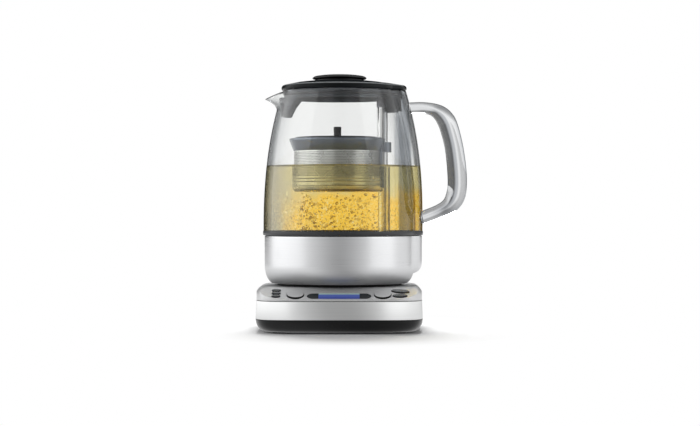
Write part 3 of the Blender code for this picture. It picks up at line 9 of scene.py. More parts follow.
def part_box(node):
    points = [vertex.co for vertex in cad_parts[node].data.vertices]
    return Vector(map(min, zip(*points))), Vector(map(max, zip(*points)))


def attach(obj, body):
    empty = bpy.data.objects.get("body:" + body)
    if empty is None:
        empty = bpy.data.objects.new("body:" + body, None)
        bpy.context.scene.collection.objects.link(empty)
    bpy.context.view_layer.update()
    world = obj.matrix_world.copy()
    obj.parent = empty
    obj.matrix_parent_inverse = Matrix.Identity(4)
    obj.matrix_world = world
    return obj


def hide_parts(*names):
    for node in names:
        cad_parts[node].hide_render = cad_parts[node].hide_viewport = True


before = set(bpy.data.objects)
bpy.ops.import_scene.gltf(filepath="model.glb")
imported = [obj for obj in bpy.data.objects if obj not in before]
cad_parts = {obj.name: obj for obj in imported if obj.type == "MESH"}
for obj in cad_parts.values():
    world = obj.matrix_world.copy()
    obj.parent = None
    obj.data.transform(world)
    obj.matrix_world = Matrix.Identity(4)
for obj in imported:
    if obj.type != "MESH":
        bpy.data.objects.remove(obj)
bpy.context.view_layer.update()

scene = bpy.context.scene
weld = 0.00001  # metres within which two points are one

# where things stand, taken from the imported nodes
plateLow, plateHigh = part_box("heater_plate")
bandLow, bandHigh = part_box("base_steel_band")
glassLow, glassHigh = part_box("glass_jug")
sealLow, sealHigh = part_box("seal_ring")
ringLow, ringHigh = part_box("basket_rim")
tubeLow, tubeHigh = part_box("post_tube")
capLow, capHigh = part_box("post_cap")
axisX = (plateLow.x + plateHigh.x) / 2  # the jug's upright axis
halfWidth = (bandHigh.x - bandLow.x) / 2
halfDepth = (bandHigh.y - bandLow.y) / 2
print("frame loaded, jug axis at x", round(axisX, 4))


def paint(red, green, blue):
    # screen colour 0 to 255 to the linear one that shaders take
    values = [value / 255 for value in (red, green, blue)]
    return tuple(v / 12.92 if v < 0.04045 else ((v + 0.055) / 1.055) ** 2.4 for v in values)


class Wire:
    # a shader socket that can stand in a Python sum

    def __init__(self, recipe, socket):
        self.recipe, self.socket = recipe, socket

    def maths(self, operation, *values):
        return self.recipe.node("Math", {"operation": operation}, dict(enumerate(values)))

    def __add__(self, other):
        return self.maths("ADD", self, other)

    def __sub__(self, other):
        return self.maths("SUBTRACT", self, other)

    def __rsub__(self, other):
        return self.maths("SUBTRACT", other, self)

    def __mul__(self, other):
        return self.maths("MULTIPLY", self, other)

    def __truediv__(self, other):
        return self.maths("DIVIDE", self, other)

    def __pow__(self, other):
        return self.maths("POWER", self, other)

    def __abs__(self):
        return self.maths("ABSOLUTE", self)

    __radd__, __rmul__ = __add__, __mul__

    def __mod__(self, other):
        return self.maths("MODULO", self, other)

    def whole(self):
        return self.maths("FLOOR", self)

    def part(self):  # what is left past the whole number
        return self.maths("FRACT", self)

    def larger(self, other):
        return self.maths("MAXIMUM", self, other)

    def ramp(self, low, high, first=0.0, last=1.0):  # smooth from first at low to last at high
        settings = {"interpolation_type": "SMOOTHSTEP"}
        limits = {"Value": self, "From Min": low, "From Max": high, "To Min": first, "To Max": last}
        return self.recipe.node("MapRange", settings, limits)

    def fade(self, low, high):
        return self.ramp(low, high, 1.0, 0.0)

    def between(self, start, full, fades, gone, last=0.0):  # rises up to full and falls again from fades on
        return self.ramp(start, full) * self.ramp(fades, gone, 1.0, last)

    def spread(self, first=0.0, last=1.0):  # for noise, whose values gather round the middle
        return self.ramp(0.3, 0.7, first, last)


class Recipe:
    # a node tree under construction

    def __init__(self, owner):
        owner.use_nodes = True
        self.owner, self.tree = owner, owner.node_tree
        self.tree.nodes.clear()

    def node(self, kind, settings=None, inputs=None, output=0):
        made = self.tree.nodes.new("ShaderNode" + kind)
        for key, value in (settings or {}).items():
            setattr(made, key, value)
        for key, value in (inputs or {}).items():
            if isinstance(value, Wire):
                self.tree.links.new(value.socket, made.inputs[key])
            elif value is not None:
                colour = isinstance(value, tuple) and made.inputs[key].type == "RGBA"
                made.inputs[key].default_value = (*value, 1.0) if colour else value
        return Wire(self, made.outputs[output]) if made.outputs else None

    def coords(self):
        return self.node("TexCoord", output="Object")

    def axes(self, vector):
        split = self.node("SeparateXYZ", inputs={"Vector": vector})
        return [Wire(self, socket) for socket in split.socket.node.outputs]

    def noise(self, vector, scale, detail=2.0):
        return self.node("TexNoise", inputs={"Vector": vector, "Scale": scale, "Detail": detail})

    def grain(self, scale, detail=2.0):  # noise with its own scale along each axis
        mapped = self.node("Mapping", inputs={"Vector": self.coords(), "Scale": scale})
        return self.noise(mapped, 1.0, detail)

    def mix(self, factor, first, second):
        inputs = {0: factor, 6: first, 7: second}
        return self.node("Mix", {"data_type": "RGBA"}, inputs, output=2)

    def bump(self, height, distance):
        return self.node("Bump", inputs={"Height": height, "Distance": distance, "Strength": 1.0})

    def surface(self, colour, roughness, normal=None, **others):
        inputs = {"Base Color": colour, "Roughness": roughness, "Normal": normal}
        inputs.update({key.replace("_", " "): value for key, value in others.items()})
        return self.node("BsdfPrincipled", inputs=inputs)

    def facing(self):
        return self.node("LayerWeight", inputs={"Blend": 0.5}, output="Facing")

    def ray(self, kind):
        return self.node("LightPath", output="Is " + kind + " Ray")

    def glow(self, strength):
        return self.node("Emission", inputs={"Color": (1.0, 1.0, 1.0), "Strength": strength})

    def blend(self, factor, first, second):
        return self.node("MixShader", inputs={0: factor, 1: first, 2: second})

    def lampsPass(self, shader, tint):  # lamps shine straight through the piece
        clear = self.node("BsdfTransparent", inputs={"Color": tint})
        return self.finish(self.blend(self.ray("Shadow"), shader, clear))

    def finish(self, shader, kind="OutputMaterial"):
        self.node(kind, inputs={"Surface": shader})
        return self.owner


def newRecipe(name):
    return Recipe(bpy.data.materials.new(name))


# painted shade: the glass is darker in a stripe down the spine and on the loop's side that faces the jug
glassShadeMarks = {
    "spineStart": axisX + 0.0565,  # a darker stripe runs down the spine
    "spineSoft": 0.002,
    "spineWide": 0.012,
    "spineFade": 0.004,
    "gripStart": axisX + 0.088,  # the loop's inner side is darkest on its upright part
    "gripFull": axisX + 0.104,
    "gripGirth": (-0.15, 0.05, 0.35, 0.6),
}


# painted shade: a darker stripe down the glass spine
def spineShade(recipe, colour):
    start = glassShadeMarks["spineStart"]
    end = start + glassShadeMarks["spineWide"]
    across = recipe.axes(recipe.coords())[0]
    stripe = across.between(start, start + glassShadeMarks["spineSoft"], end, end + glassShadeMarks["spineFade"], 0.2)
    return recipe.mix(stripe, colour, (0.50, 0.52, 0.54))


# painted shade on the loop's side that faces the jug, most on its upright part
def loopShade(recipe, colour):
    girth = recipe.node("Attribute", {"attribute_name": "girth"}, output="Fac")
    across = recipe.axes(recipe.coords())[0]
    upright = across.ramp(glassShadeMarks["gripStart"], glassShadeMarks["gripFull"], 0.35, 1.0)
    return recipe.mix(girth.between(*glassShadeMarks["gripGirth"]) * upright, colour, (0.30, 0.315, 0.34))


def clearGlass(name, tint, edge, edgeStart, shade):
    # painted shade: darkens towards its outline
    recipe = newRecipe(name)
    colour = shade(recipe, recipe.mix(recipe.facing().ramp(edgeStart, 1.0), tint, edge))
    ripple = recipe.bump(recipe.grain((30, 30, 9)), 0.0002)
    others = {"IOR": 1.47, "Transmission_Weight": 1.0, "Specular_IOR_Level": 0.12}
    return recipe.lampsPass(recipe.surface(colour, 0.0, ripple, **others), (0.94, 0.95, 0.95))


# the band's shading bows outwards
bandCrown = {"softPower": 2.7, "soft": 0.444, "cornerPower": 6, "corner": 0.32}


def bowedOut(recipe, relief):
    across, deep, _ = recipe.axes(recipe.coords())
    for off, half in ((abs(across - axisX), halfWidth), (abs(deep), halfDepth)):
        share = off / half
        bow = share ** bandCrown["softPower"] * bandCrown["soft"]
        relief = relief - (bow - share ** bandCrown["cornerPower"] * bandCrown["corner"]) * half
    return relief


def brushedSteel(name, tint, roughness, lines, depth, spots=0.0, crowned=False, shadedBetween=None):
    # fine lines round the body, faint cloudiness, a few dull wear marks
    recipe = newRecipe(name)
    line = recipe.grain(lines, 4.0)
    cloud = recipe.grain((14, 14, 22), 3.0)
    tone = line.spread(-0.5, 0.5) * 0.35 + cloud.spread(-0.5, 0.5) * 0.2
    darker = tuple(value * 0.93 for value in tint)
    brighter = tuple(min(1.0, value * 1.07) for value in tint)
    colour = recipe.mix(tone + 0.5, darker, brighter)
    wear = recipe.grain((60, 60, 60), 5.0).ramp(0.62, 0.75) * spots
    # painted shade: the colour darkens towards the foot between these heights; the roughness rises there too
    if shadedBetween:  # duller and darker between these heights, most at the foot
        lowShadeAndDull = recipe.axes(recipe.coords())[2].fade(*shadedBetween)
        colour = recipe.mix(lowShadeAndDull, colour, tuple(value * 0.5 for value in tint))
        wear = wear + lowShadeAndDull * 0.3
    rough = line.ramp(0.2, 0.8, -0.03, 0.05) + cloud.spread(-0.015, 0.02) + wear + roughness
    relief = line * depth
    normal = recipe.bump(bowedOut(recipe, relief) if crowned else relief, 1.0)
    return recipe.finish(recipe.surface(colour, rough, normal, Metallic=1.0))


def satinSilver(name, tint, metallic, roughness):
    # sprayed metal look: a fine even sparkle
    recipe = newRecipe(name)
    spark = recipe.noise(recipe.coords(), 3800, 1.0)
    cloud = recipe.noise(recipe.coords(), 24, 3.0)
    colour = recipe.mix(spark.ramp(0.35, 0.65), tuple(v * 0.9 for v in tint), tint)
    rough = spark.spread(-0.04, 0.04) + cloud.spread(-0.02, 0.03) + roughness
    normal = recipe.bump(spark, 0.00001)
    coat = {"Coat_Weight": 0.15, "Coat_Roughness": 0.25}
    return recipe.finish(recipe.surface(colour, rough, normal, Metallic=metallic, **coat))


def moulded(name, tint, roughness, grainSize=1400, depth=0.00001, metallic=0.0, gloss=0.5):
    # moulded plastic or rubber with its fine skin and a slight unevenness
    recipe = newRecipe(name)
    skin = recipe.noise(recipe.coords(), grainSize, 2.0)
    cloud = recipe.noise(recipe.coords(), 30, 3.0)
    lighter = tuple(value * 1.25 + 0.002 for value in tint)
    colour = recipe.mix(cloud.spread(), tint, lighter)
    rough = skin.spread(-0.03, 0.03) + cloud.spread(-0.03, 0.04) + roughness
    normal = recipe.bump(skin, depth)
    others = {"Metallic": metallic, "Specular_IOR_Level": gloss}
    return recipe.finish(recipe.surface(colour, rough, normal, **others))


bandLines, fineLines, jugLines = (14, 14, 2200), (300, 300, 90), (18, 18, 2600)
# painted shade: the foot's steel is painted darker between these heights
footShadeHeights = (0.047, 0.064)  # heights that the foot's steel dulls between
steelRound = brushedSteel("brushed steel, jug", (0.69, 0.695, 0.705), 0.30, jugLines, 0.000006, 0.05,
                          shadedBetween=footShadeHeights)
steelBand = brushedSteel("brushed steel, band", (0.66, 0.665, 0.665), 0.32, bandLines, 0.000006, 0.05,
                         crowned=True)
steelPlain = brushedSteel("brushed steel, plain", (0.6, 0.605, 0.605), 0.34, bandLines, 0.000006, 0.05)
steelBright = brushedSteel("polished steel", (0.72, 0.73, 0.73), 0.14, fineLines, 0.000003, 0.03)
steelPost = brushedSteel("polished steel post", (0.88, 0.88, 0.88), 0.14, fineLines, 0.000003)
jugGlass = clearGlass("jug glass", (0.95, 0.955, 0.95), (0.28, 0.30, 0.32), 0.18, spineShade)
handleGlass = clearGlass("handle glass", (0.84, 0.85, 0.86), (0.20, 0.22, 0.24), 0.5, loopShade)
coverSilver = satinSilver("satin silver", (0.80, 0.805, 0.81), 0.3, 0.34)
keySilver = satinSilver("silver key", (0.60, 0.605, 0.61), 0.85, 0.28)
keyDark = moulded("dark key", paint(66, 69, 72), 0.30, 1800)
shellBlack = moulded("black shell", paint(14, 15, 16), 0.3, 1200, 0.000004, gloss=0.25)
# the jug's black underside, made darker still as painted shadow where the jug meets the base
shadowBlack = moulded("matt black", paint(7, 7, 7), 0.5, 1200, 0.000004, gloss=0.1)
sealGrey = moulded("seal grey", paint(44, 46, 49), 0.42, 2200)
insertGrey = moulded("smoked insert", (0.038, 0.044, 0.051), 0.2, 1200, 0.0000015, metallic=0.9)
basketGrey = moulded("basket grey", (0.165, 0.19, 0.225), 0.2, 1600, 0.0000015, metallic=0.9)
capGrey = moulded("cap grey", paint(140, 140, 150), 0.36, 1600)
stemBlack = moulded("stem black", paint(11, 11, 11), 0.22, 1200, 0.000004, gloss=0.3)
rubberBlack = moulded("rubber", paint(30, 30, 30), 0.75, 2600, 0.00002)
boardGreen = moulded("circuit board", paint(24, 82, 52), 0.5, 500, 0.00001)
brassPlain = brushedSteel("brass", (0.72, 0.52, 0.22), 0.28, (900, 900, 200), 0.000004, 0.08)
nylon = moulded("nylon", paint(218, 212, 196), 0.45, 900)
magnetGrey = brushedSteel("plated magnet", (0.34, 0.34, 0.35), 0.32, (200, 200, 700), 0.000004, 0.1)
print("materials made")


def spun(profile, segments, closed=False):
    # a bmesh turned about the Z axis through the origin; profile points are (radius, height)
    work = bmesh.new()
    points = [work.verts.new((radius, 0, height)) for radius, height in profile]
    edges = [work.edges.new(pair) for pair in zip(points, points[1:])]
    if closed:
        edges.append(work.edges.new((points[-1], points[0])))
    turn = {"cent": (0, 0, 0), "axis": (0, 0, 1), "angle": 2 * math.pi, "steps": segments}
    bmesh.ops.spin(work, geom=points + edges, use_merge=True, **turn)
    bmesh.ops.remove_doubles(work, verts=work.verts, dist=weld)
    return work


def eased(profile, radius, steps=4):
    # the same profile with its corners rounded; (radius, height, own rounding) sets one alone
    soft = [Vector(profile[0][:2])]
    for before, corner, after in zip(profile, profile[1:], profile[2:]):
        own = corner[2] if len(corner) > 2 else radius
        a, b, c = Vector(before[:2]), Vector(corner[:2]), Vector(after[:2])
        reach = min(own, (a - b).length / 2, (c - b).length / 2)
        if reach < weld:
            soft.append(b)
            continue
        start, end = b + (a - b).normalized() * reach, b + (c - b).normalized() * reach
        for i in range(steps + 1):
            t = i / steps
            soft.append(start * (1 - t) ** 2 + b * 2 * t * (1 - t) + end * t**2)
    return [tuple(point) for point in soft] + [tuple(profile[-1][:2])]


def reshaped(work, plan):
    # moves each turned point to plan(angle, radius, height)
    for vert in work.verts:
        angle, radius = math.atan2(vert.co.y, vert.co.x), math.hypot(vert.co.x, vert.co.y)
        vert.co = plan(angle, radius, vert.co.z)
    return work


def moved(work, x):
    bmesh.ops.translate(work, verts=work.verts, vec=(x, 0, 0))
    return work


def toObject(name, work, smooth=35):
    bmesh.ops.remove_doubles(work, verts=work.verts, dist=weld)
    bmesh.ops.recalc_face_normals(work, faces=work.faces)
    mesh = bpy.data.meshes.new(name)
    work.to_mesh(mesh)
    work.free()
    mesh.shade_smooth()
    mesh.set_sharp_from_angle(angle=math.radians(smooth))
    thing = bpy.data.objects.new(name, mesh)
    scene.collection.objects.link(thing)
    return thing


def carve(thing, cutters):
    # cuts bmesh solids out of a piece and keeps the result as its mesh
    helpers = [toObject("cutter", cutter) for cutter in cutters]
    for helper in helpers:
        change = thing.modifiers.new("carve", "BOOLEAN")
        change.operation, change.object, change.solver = "DIFFERENCE", helper, "EXACT"
    bpy.context.view_layer.update()
    graph = bpy.context.evaluated_depsgraph_get()
    final = thing.evaluated_get(graph)
    baked = bpy.data.meshes.new_from_object(final, preserve_all_data_layers=True, depsgraph=graph)
    thing.modifiers.clear()
    thing.data = baked
    for helper in helpers:
        bpy.data.objects.remove(helper)
    baked.shade_smooth()
    baked.set_sharp_from_angle(angle=math.radians(35))
    return thing


def dress(thing, material, body, slotName, *nodes):
    thing.data.materials.clear()
    thing.data.materials.append(material)
    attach(thing, body)
    if nodes:
        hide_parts(*nodes)


def cylinder(radius, low, high, x, segments=48):
    return moved(spun([(0, high), (radius, high), (radius, low), (0, low)], segments), x)


# the jug's plan is a circle with a spine at +X
jugPlan = {
    "lobe": 0.0246,  # radius of the spine
    "blend": 0.003,  # softness of the crease beside it
    "fullRise": 0.0076,
    "glassRadius": 0.0759,
    "taper": 0.0186,
    "taperPower": 2.4,
    "riseFoot": 0.0070,
    "riseRim": 0.0092,
    "lipStart": 0.0210,  # below the rim
    "lipReach": 0.0170,
    "lipDrop": 0.0082,
    "lipPower": 2.2,
    "lipHalfAngle": math.radians(33),
}
glassFoot = glassLow.z
glassRim = glassHigh.z - 0.0005


def planRadius(angle, radius, rise, inset):
    lobe = jugPlan["lobe"]
    main, small, centre = radius - inset, lobe - inset, radius + rise - lobe
    under = small**2 - (centre * math.sin(angle)) ** 2
    if rise <= 0 or under <= 0 or math.cos(angle) < 0 or small <= 0:
        return main
    spine = centre * math.cos(angle) + math.sqrt(under)
    blend = jugPlan["blend"] * min(1.0, rise / jugPlan["fullRise"])
    near = max(blend - abs(main - spine), 0.0)
    return max(main, spine) + near**2 / (4 * blend)


def onAxis(angle, out, height):
    return Vector((axisX + out * math.cos(angle), out * math.sin(angle), height))


def aroundEdge(angle, radius, height, edge, rise):
    return onAxis(angle, planRadius(angle, edge, rise, edge - radius), height)


def levels(low, high, steps):
    return [low + (high - low) * i / steps for i in range(steps + 1)]


def glassShare(height):
    return min(1.0, max(0.0, (height - glassFoot) / (glassRim - glassFoot)))


def glassRadius(height):
    return jugPlan["glassRadius"] - jugPlan["taper"] * glassShare(height) ** jugPlan["taperPower"]


def glassRise(height):
    return jugPlan["riseFoot"] + (jugPlan["riseRim"] - jugPlan["riseFoot"]) * glassShare(height)


def lipWeight(angle):
    off = abs(math.remainder(angle - math.pi, 2 * math.pi)) / jugPlan["lipHalfAngle"]
    return math.cos(min(off, 1.0) * math.pi / 2) ** 2


def glassPlan(angle, radius, height):
    level = min(height, glassRim)
    climb = max(0.0, (level - glassRim) / jugPlan["lipStart"] + 1)
    weight = lipWeight(angle)
    out = planRadius(angle, glassRadius(level), glassRise(level), glassRadius(level) - radius)
    out += jugPlan["lipReach"] * weight * climb ** jugPlan["lipPower"]
    return onAxis(angle, out, height - jugPlan["lipDrop"] * weight * climb)


def rimPlan(angle, radius, height):  # pieces that follow the rim's outline
    return aroundEdge(angle, radius, height, glassRadius(glassRim), glassRise(glassRim))


glass = {"wall": 0.0024, "rings": 44, "segments": 224, "rimRounding": 0.0005}


def glassWall():
    heights = levels(glassFoot, glassRim, glass["rings"])
    outer = [(glassRadius(z), z) for z in heights]
    inner = [(glassRadius(z) - glass["wall"], z) for z in reversed(heights)]
    crown = [(glassRadius(glassRim) - glass["wall"] * (0.5 - 0.5 * math.cos(math.pi * i / 6)),
              glassRim + glass["rimRounding"] * math.sin(math.pi * i / 6)) for i in range(1, 6)]
    return reshaped(spun(outer + crown + inner, glass["segments"], closed=True), glassPlan)


dress(toObject("jug_glass_wall", glassWall(), 60), jugGlass, "jug", "jug_glass", "glass_jug")
print("glass wall made")


handle = {
    "reach": 0.1276,  # from the jug's axis
    "grip": 0.0192,
    "depth": 0.0232,
    "steps": 12,
    "sides": 56,
    "trimGap": 0.0001,
    # distance out as a share of the reach, height as a share of the rim's, thickness as a share of the grip
    "lineShares": (
        (0.540, 0.930, 0.58), (0.642, 0.9322, 0.57), (0.730, 0.9240, 0.66), (0.790, 0.9065, 0.84),
        (0.832, 0.8800, 0.95), (0.860, 0.8450, 0.97), (0.897, 0.7663, 0.96), (0.9185, 0.6737, 1.0),
        (0.9222, 0.6021, 1.0), (0.905, 0.5537, 1.0), (0.858, 0.5187, 0.86), (0.776, 0.4960, 0.68),
        (0.650, 0.4700, 0.66), (0.560, 0.4540, 0.66),
    ),
}


def smoothLine(points, steps):
    ends = [2 * points[0] - points[1], *points, 2 * points[-1] - points[-2]]
    line = []
    for a, b, c, d in zip(ends, ends[1:], ends[2:], ends[3:]):
        for i in range(steps):
            t = i / steps
            bend = (2 * a - 5 * b + 4 * c - d) * t**2 + (3 * b - a - 3 * c + d) * t**3
            line.append((2 * b + (c - a) * t + bend) / 2)
    return line + [points[-1]]


def sweep(places, sides):
    # circles set by matrices and bridged one to the next
    work = bmesh.new()
    girth = work.verts.layers.float.new("girth")  # 1 on the side towards the jug, -1 on the far side
    loops = []
    for place in places:
        made = bmesh.ops.create_circle(work, segments=sides, radius=1.0, matrix=place)
        for vert in made["verts"]:
            vert[girth] = (place.inverted() @ vert.co).x
        loops.append(list({edge for vert in made["verts"] for edge in vert.link_edges}))
    for first, second in zip(loops, loops[1:]):
        bmesh.ops.bridge_loops(work, edges=first + second)
    bmesh.ops.edgeloop_fill(work, edges=loops[0] + loops[-1])
    return work


def handleLoop():
    guide = [Vector((out * handle["reach"], up * glassRim, thick)) for out, up, thick in handle["lineShares"]]
    line = smoothLine(guide, handle["steps"])
    places = []
    for i, point in enumerate(line):
        before, after = line[max(i - 1, 0)], line[min(i + 1, len(line) - 1)]
        along = Vector((after.x - before.x, 0, after.y - before.y)).normalized()
        across = Vector((along.z, 0, -along.x)) * handle["grip"] * point.z / 2
        deep = Vector((0, handle["depth"] * math.sqrt(point.z) / 2, 0))
        place = Matrix((across, deep, along)).transposed().to_4x4()
        place.translation = (axisX + point.x, 0, point.y)
        places.append(place)
    return sweep(places, handle["sides"])


def jugBlock():
    # the room inside the jug's outer wall, to trim the handle to it
    heights = levels(glassFoot, glassRim, 24)
    outer = [(glassRadius(z) + handle["trimGap"], z) for z in heights]
    return reshaped(spun([(0, glassFoot), *outer, (0, glassRim)], 128), glassPlan)


loop = carve(toObject("jug_glass_handle", handleLoop(), 60), [jugBlock()])
dress(loop, handleGlass, "jug", "jug_glass", "glass_handle")
print("handle made")


foot = {
    "low": 0.0463,
    "high": 0.0936,
    "radius": 0.0747,
    "tuck": 0.0105,
    "tuckTop": 0.0640,
    "tuckHeight": 0.0185,
    "rise": 0.0076,
    "riseTop": 0.0670,
    "riseHeight": 0.0110,
    "mouth": 0.0580,
    "ledge": 0.0663,
    "wall": 0.0008,
    "bend": 0.0011,
    "steps": 30,
    "crowding": 1.6,  # above 1 sets more of the steps near the foot
}


def footRadius(height):
    down = min(1.0, max(0.0, (foot["tuckTop"] - height) / foot["tuckHeight"]))
    return foot["radius"] - foot["tuck"] * (1 - math.sqrt(1 - down**2))


def footPlan(angle, radius, height):
    down = min(1.0, max(0.0, (foot["riseTop"] - height) / foot["riseHeight"]))
    return aroundEdge(angle, radius, height, footRadius(height), foot["rise"] * math.sqrt(1 - down**2))


def footShell():
    low, high, wall = foot["low"], foot["high"], foot["wall"]
    shares = [(i / foot["steps"]) ** foot["crowding"] for i in range(foot["steps"] + 1)]
    side = [(footRadius(low + (high - low) * share), low + (high - low) * share) for share in shares]
    side = [(foot["mouth"], low), *side[:-1], (side[-1][0], high, foot["bend"]), (foot["ledge"], high)]
    inner = [(point[0] - wall, min(point[1] + wall, high - wall)) for point in reversed(side[1:-1])]
    outline = eased(side, 0.0) + [(foot["ledge"], high - wall), *inner, (foot["mouth"], low + wall)]
    return reshaped(spun(outline, 192, closed=True), footPlan)


dress(toObject("jug_foot_shell", footShell()), steelRound, "jug", "brushed_steel", "jug_steel_shell")

seal = {
    "radius": 0.0765,
    "rise": 0.0070,
    "inside": 0.0680,
    "footIn": 0.0004,
    "topIn": 0.0003,
    "recess": 0.0006,  # the step that the glass stands in
    "gap": 0.0001,
    "softness": 0.0006,
}


def sealPlan(angle, radius, height):
    return aroundEdge(angle, radius, height, seal["radius"], seal["rise"])


def sealBand():
    radius, low, high, inside = seal["radius"], sealLow.z, sealHigh.z, seal["inside"]
    shelf, step = glassFoot - seal["gap"], radius - seal["recess"]
    outline = [(inside, low), (radius - seal["footIn"], low), (radius, (low + high) / 2),
               (radius - seal["topIn"], high), (step, high), (step, shelf), (inside, shelf)]
    return reshaped(spun(eased(outline, seal["softness"]) + [(inside, low)], 192), sealPlan)


dress(toObject("jug_seal_band", sealBand()), sealGrey, "jug", "dark_seal", "seal_ring")
print("steel foot and seal made")


lid = {
    "edge": 0.0573,
    "knob": 0.0270,
    "knobLow": 0.2481,
    "knobHigh": 0.2538,
    "knobSink": 0.0001,
    "knobNeck": 0.0035,  # narrower than the disc by this
    "neckShare": 0.12,
    "knobShares": ((1.0, 0.34), (1.0, 0.52), (0.92, 0.78), (0.66, 0.96)),  # of its radius and its height
    "knobSoft": 0.0012,
    "flat": 0.0285,  # the middle stays round, and the spine's bulge grows from here
    "bulgeOver": 0.0288,
    "shellProfile": ((0, 0.2410), (0.0537, 0.2410), (0.0537, 0.2383), (0.0573, 0.2383), (0.0579, 0.2395),
                     (0.0579, 0.2414), (0.0567, 0.2432), (0.0429, 0.2461), (0.0285, 0.2478), (0, 0.2480)),
    "shellSoft": 0.0010,
    "paleLine": (0.2421, 0.2427, 0.2434, 0.2440),  # heights of the line along its upper edge
    "insertInset": 0.0039,
    "insertWall": 0.0018,
    "insertLow": 0.2293,
    "insertHigh": 0.2407,
    "guardLow": 0.2120,
    "guardHalfFoot": math.radians(30),
    "guardHalfTop": math.radians(44),
    "guardRadius": 0.0560,
    "guardReach": 0.0024,
    "guardWall": 0.0016,
    "tabLow": 0.2170,
    "tabHalf": math.radians(30),
    "tabRise": 0.0075,
    "tabInset": 0.0045,
    "plateOverlap": 0.0006,
    "gasketProfile": ((0.0525, 0.2332, 0), (0.0525, 0.2316), (0.0541, 0.2324), (0.0545, 0.2338),
                      (0.0525, 0.2348)),
    "softness": 0.0004,
}


def lidFinish():
    # smoked plastic with a painted highlight along its upper edge
    recipe = newRecipe("smoked lid")
    # painted highlight: a pale band between these heights
    line = recipe.axes(recipe.coords())[2].between(*lid["paleLine"])
    cloud = recipe.noise(recipe.coords(), 40, 3.0)
    body = recipe.mix(cloud.spread(), paint(17, 20, 22), paint(25, 29, 31))
    colour = recipe.mix(line * 0.8, body, paint(150, 154, 156))
    rough = cloud.spread(0.16, 0.22)
    return recipe.finish(recipe.surface(colour, rough, recipe.bump(cloud, 0.000004), Specular_IOR_Level=0.12))


def lidPlan(angle, radius, height):
    rise = jugPlan["riseRim"] * min(1.0, max(0.0, (radius - lid["flat"]) / lid["bulgeOver"]))
    return aroundEdge(angle, radius, height, lid["edge"], rise)


def lidShell():
    return reshaped(spun(eased(lid["shellProfile"], lid["shellSoft"]), 160), lidPlan)


def knobDisc():
    radius, low, high = lid["knob"], lid["knobLow"], lid["knobHigh"]
    tall, neck, sunk = high - low, radius - lid["knobNeck"], low - lid["knobSink"]
    outline = [(0, sunk), (neck, sunk, 0), (neck, low + tall * lid["neckShare"], 0)]
    outline += [(radius * out, low + tall * up) for out, up in lid["knobShares"]] + [(0, high)]
    return moved(spun(eased(outline, lid["knobSoft"]), 96), axisX)


def insertRing():
    low, high, inset, wall = lid["insertLow"], lid["insertHigh"], lid["insertInset"], lid["insertWall"]
    outer, inner = lid["edge"] - inset, lid["edge"] - inset - wall
    outline = [(inner, (low + high) / 2, 0), (inner, low), (outer, low), (outer, high), (inner, high)]
    return reshaped(spun(eased(outline, lid["softness"]) + [(inner, (low + high) / 2)], 160), rimPlan)


plateShape = {"corner": 0.2, "lift": 0.3, "edge": 0.3}  # shares of half its width, its height and its wall


def plate(name, halfFoot, halfTop, low, facing, outAt, wall, across, up):
    # an upright curved plate: a grid bent round the axis, thickened by a modifier
    high, corner = lid["insertLow"] + lid["plateOverlap"], plateShape["corner"]
    work = bmesh.new()
    bmesh.ops.create_grid(work, x_segments=across, y_segments=up, size=1.0)
    for vert in work.verts:
        side, climb = vert.co.x, (vert.co.y + 1) / 2
        half = halfFoot + (halfTop - halfFoot) * climb
        past = min(1.0, max(0.0, (abs(side) - 1 + corner) / corner))
        lift = plateShape["lift"] * (1 - math.sqrt(1 - past**2)) * (1 - climb)
        height = low + (high - low) * (climb + lift)
        angle = facing + side * half
        vert.co = onAxis(angle, outAt(angle), height)
    thing = toObject(name, work)
    thickness = thing.modifiers.new("wall", "SOLIDIFY")
    thickness.thickness, thickness.offset = wall, 0.0
    softened = thing.modifiers.new("edges", "BEVEL")
    softened.width, softened.segments, softened.limit_method = wall * plateShape["edge"], 2, "ANGLE"
    return thing


def guardOut(angle):
    return lid["guardRadius"] + lid["guardReach"] * lipWeight(angle) - lid["guardWall"] / 2


def tabOut(angle):
    return planRadius(angle, lid["edge"], lid["tabRise"], lid["tabInset"])


lidDark = lidFinish()
dress(toObject("lid_top", lidShell()), lidDark, "lid", "lid_black", "lid_shell")
dress(toObject("lid_disc_knob", knobDisc()), stemBlack, "lid", "lid_black", "lid_knob")
insert = toObject("lid_collar", insertRing())
guard = plate("lid_spout_guard", lid["guardHalfFoot"], lid["guardHalfTop"], lid["guardLow"], math.pi,
              guardOut, lid["guardWall"], 28, 8)
tab = plate("lid_rear_tab", lid["tabHalf"], lid["tabHalf"], lid["tabLow"], 0.0,
            tabOut, lid["insertWall"], 20, 6)
dress(insert, insertGrey, "lid", "smoke_grey", "lid_insert")
dress(guard, insertGrey, "lid", "smoke_grey")
dress(tab, insertGrey, "lid", "smoke_grey")


def lidGasket():
    profile = lid["gasketProfile"]
    return reshaped(spun(eased(profile, lid["softness"]) + [profile[0][:2]], 128), rimPlan)


dress(toObject("lid_gasket", lidGasket()), sealGrey, "lid", "dark_seal", "lid_seal")
print("lid made")


